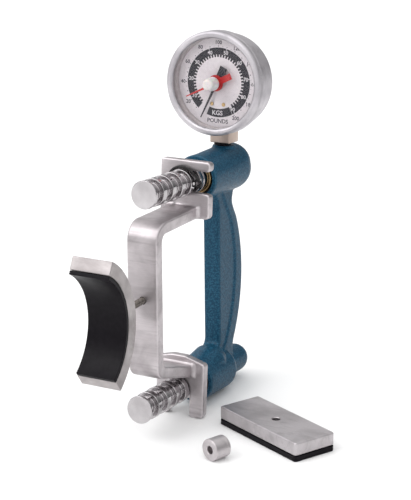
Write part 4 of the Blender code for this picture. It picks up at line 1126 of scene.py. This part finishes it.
def camera():
    data = bpy.data.cameras.new("camera")
    data.sensor_width, data.lens = 36.0, 115.2
    data.clip_start, data.clip_end = 0.02, 50.0
    azimuth, elevation, roll = (math.radians(a) for a in CAMERA_ANGLES)
    back = Vector((math.sin(azimuth) * math.cos(elevation),
                   -math.cos(azimuth) * math.cos(elevation), math.sin(elevation)))
    right = Vector((math.cos(azimuth), math.sin(azimuth), 0))
    up = back.cross(right)
    across = right * math.cos(roll) + up * math.sin(roll)
    above = up * math.cos(roll) - right * math.sin(roll)
    local = Matrix((across, above, back)).transposed().to_4x4()
    local.translation = Vector(CAMERA_PLACE) * MM
    item = added("camera", data)
    item.matrix_world = INSTRUMENT @ local
    bpy.context.scene.camera = item


def softbox(name, position, size, power, target=(0.0, 0.0, 0.12)):
    data = bpy.data.lights.new(name, "AREA")
    data.shape = "RECTANGLE"
    data.size, data.size_y = size
    data.energy = power
    item = added(name, data)
    item.location = position
    aim = Vector(target) - Vector(position)
    item.rotation_euler = aim.to_track_quat("-Z", "Y").to_euler()


def studio():
    scene = bpy.context.scene
    scene.view_settings.view_transform = "Standard"
    world = bpy.data.worlds.new("studio")
    scene.world = world
    world.use_nodes = True
    nodes, link = world.node_tree.nodes, world.node_tree.links.new
    direction = nodes.new("ShaderNodeTexCoord").outputs["Generated"]
    split = nodes.new("ShaderNodeSeparateXYZ")
    link(direction, split.inputs[0])
    ramp = nodes.new("ShaderNodeValToRGB")
    low, high = ramp.color_ramp.elements
    low.position, low.color = 0.0, (0.2, 0.2, 0.205, 1.0)
    high.position, high.color = 0.75, (1.0, 1.0, 1.0, 1.0)
    link(split.outputs["Z"], ramp.inputs[0])
    background = nodes["Background"]
    link(ramp.outputs[0], background.inputs["Color"])
    behind = nodes.new("ShaderNodeVectorMath")
    behind.operation = "DOT_PRODUCT"
    behind.inputs[1].default_value = (0.5, 0.87, 0.0)
    link(direction, behind.inputs[0])
    strength = nodes.new("ShaderNodeMapRange")
    set_range(strength, -0.6, 0.9, 1.95, 0.65)
    link(behind.outputs["Value"], strength.inputs["Value"])
    link(strength.outputs["Result"], background.inputs["Strength"])

    softbox("key", (-0.85, -1.05, 1.25), (1.0, 1.0), 7.5)
    softbox("fill", (1.6, -0.5, 0.8), (0.8, 1.0), 0.2)
    softbox("rim", (-0.9, 1.1, 1.0), (0.8, 0.6), 0.8)

    bm = bmesh.new()
    bmesh.ops.create_grid(bm, x_segments=24, y_segments=24, size=14.0)
    floor = mesh_object("studio_floor", bm)
    floor.location = (0, 0, -0.0002)
    paper = Recipe("pale_paper", Roughness=0.9, Specular_IOR_Level=0.1)
    paper.colour(paper.mixed(paper.spread(paper.noise(3.0), 0.0, 1.0), (0.94, 0.94, 0.94),
                             (0.96, 0.96, 0.96)))
    floor.data.materials.append(paper.material)


camera()
studio()
body_casting()
posts()
hydraulic_rings()
gauge_stem()
gauge_case()
bezel()
dial_side()
dial_print()
pointers()
bracket()
stud_and_clip()
curved_pad()
flat_pad()
button_pad()
dress_hidden_pieces()
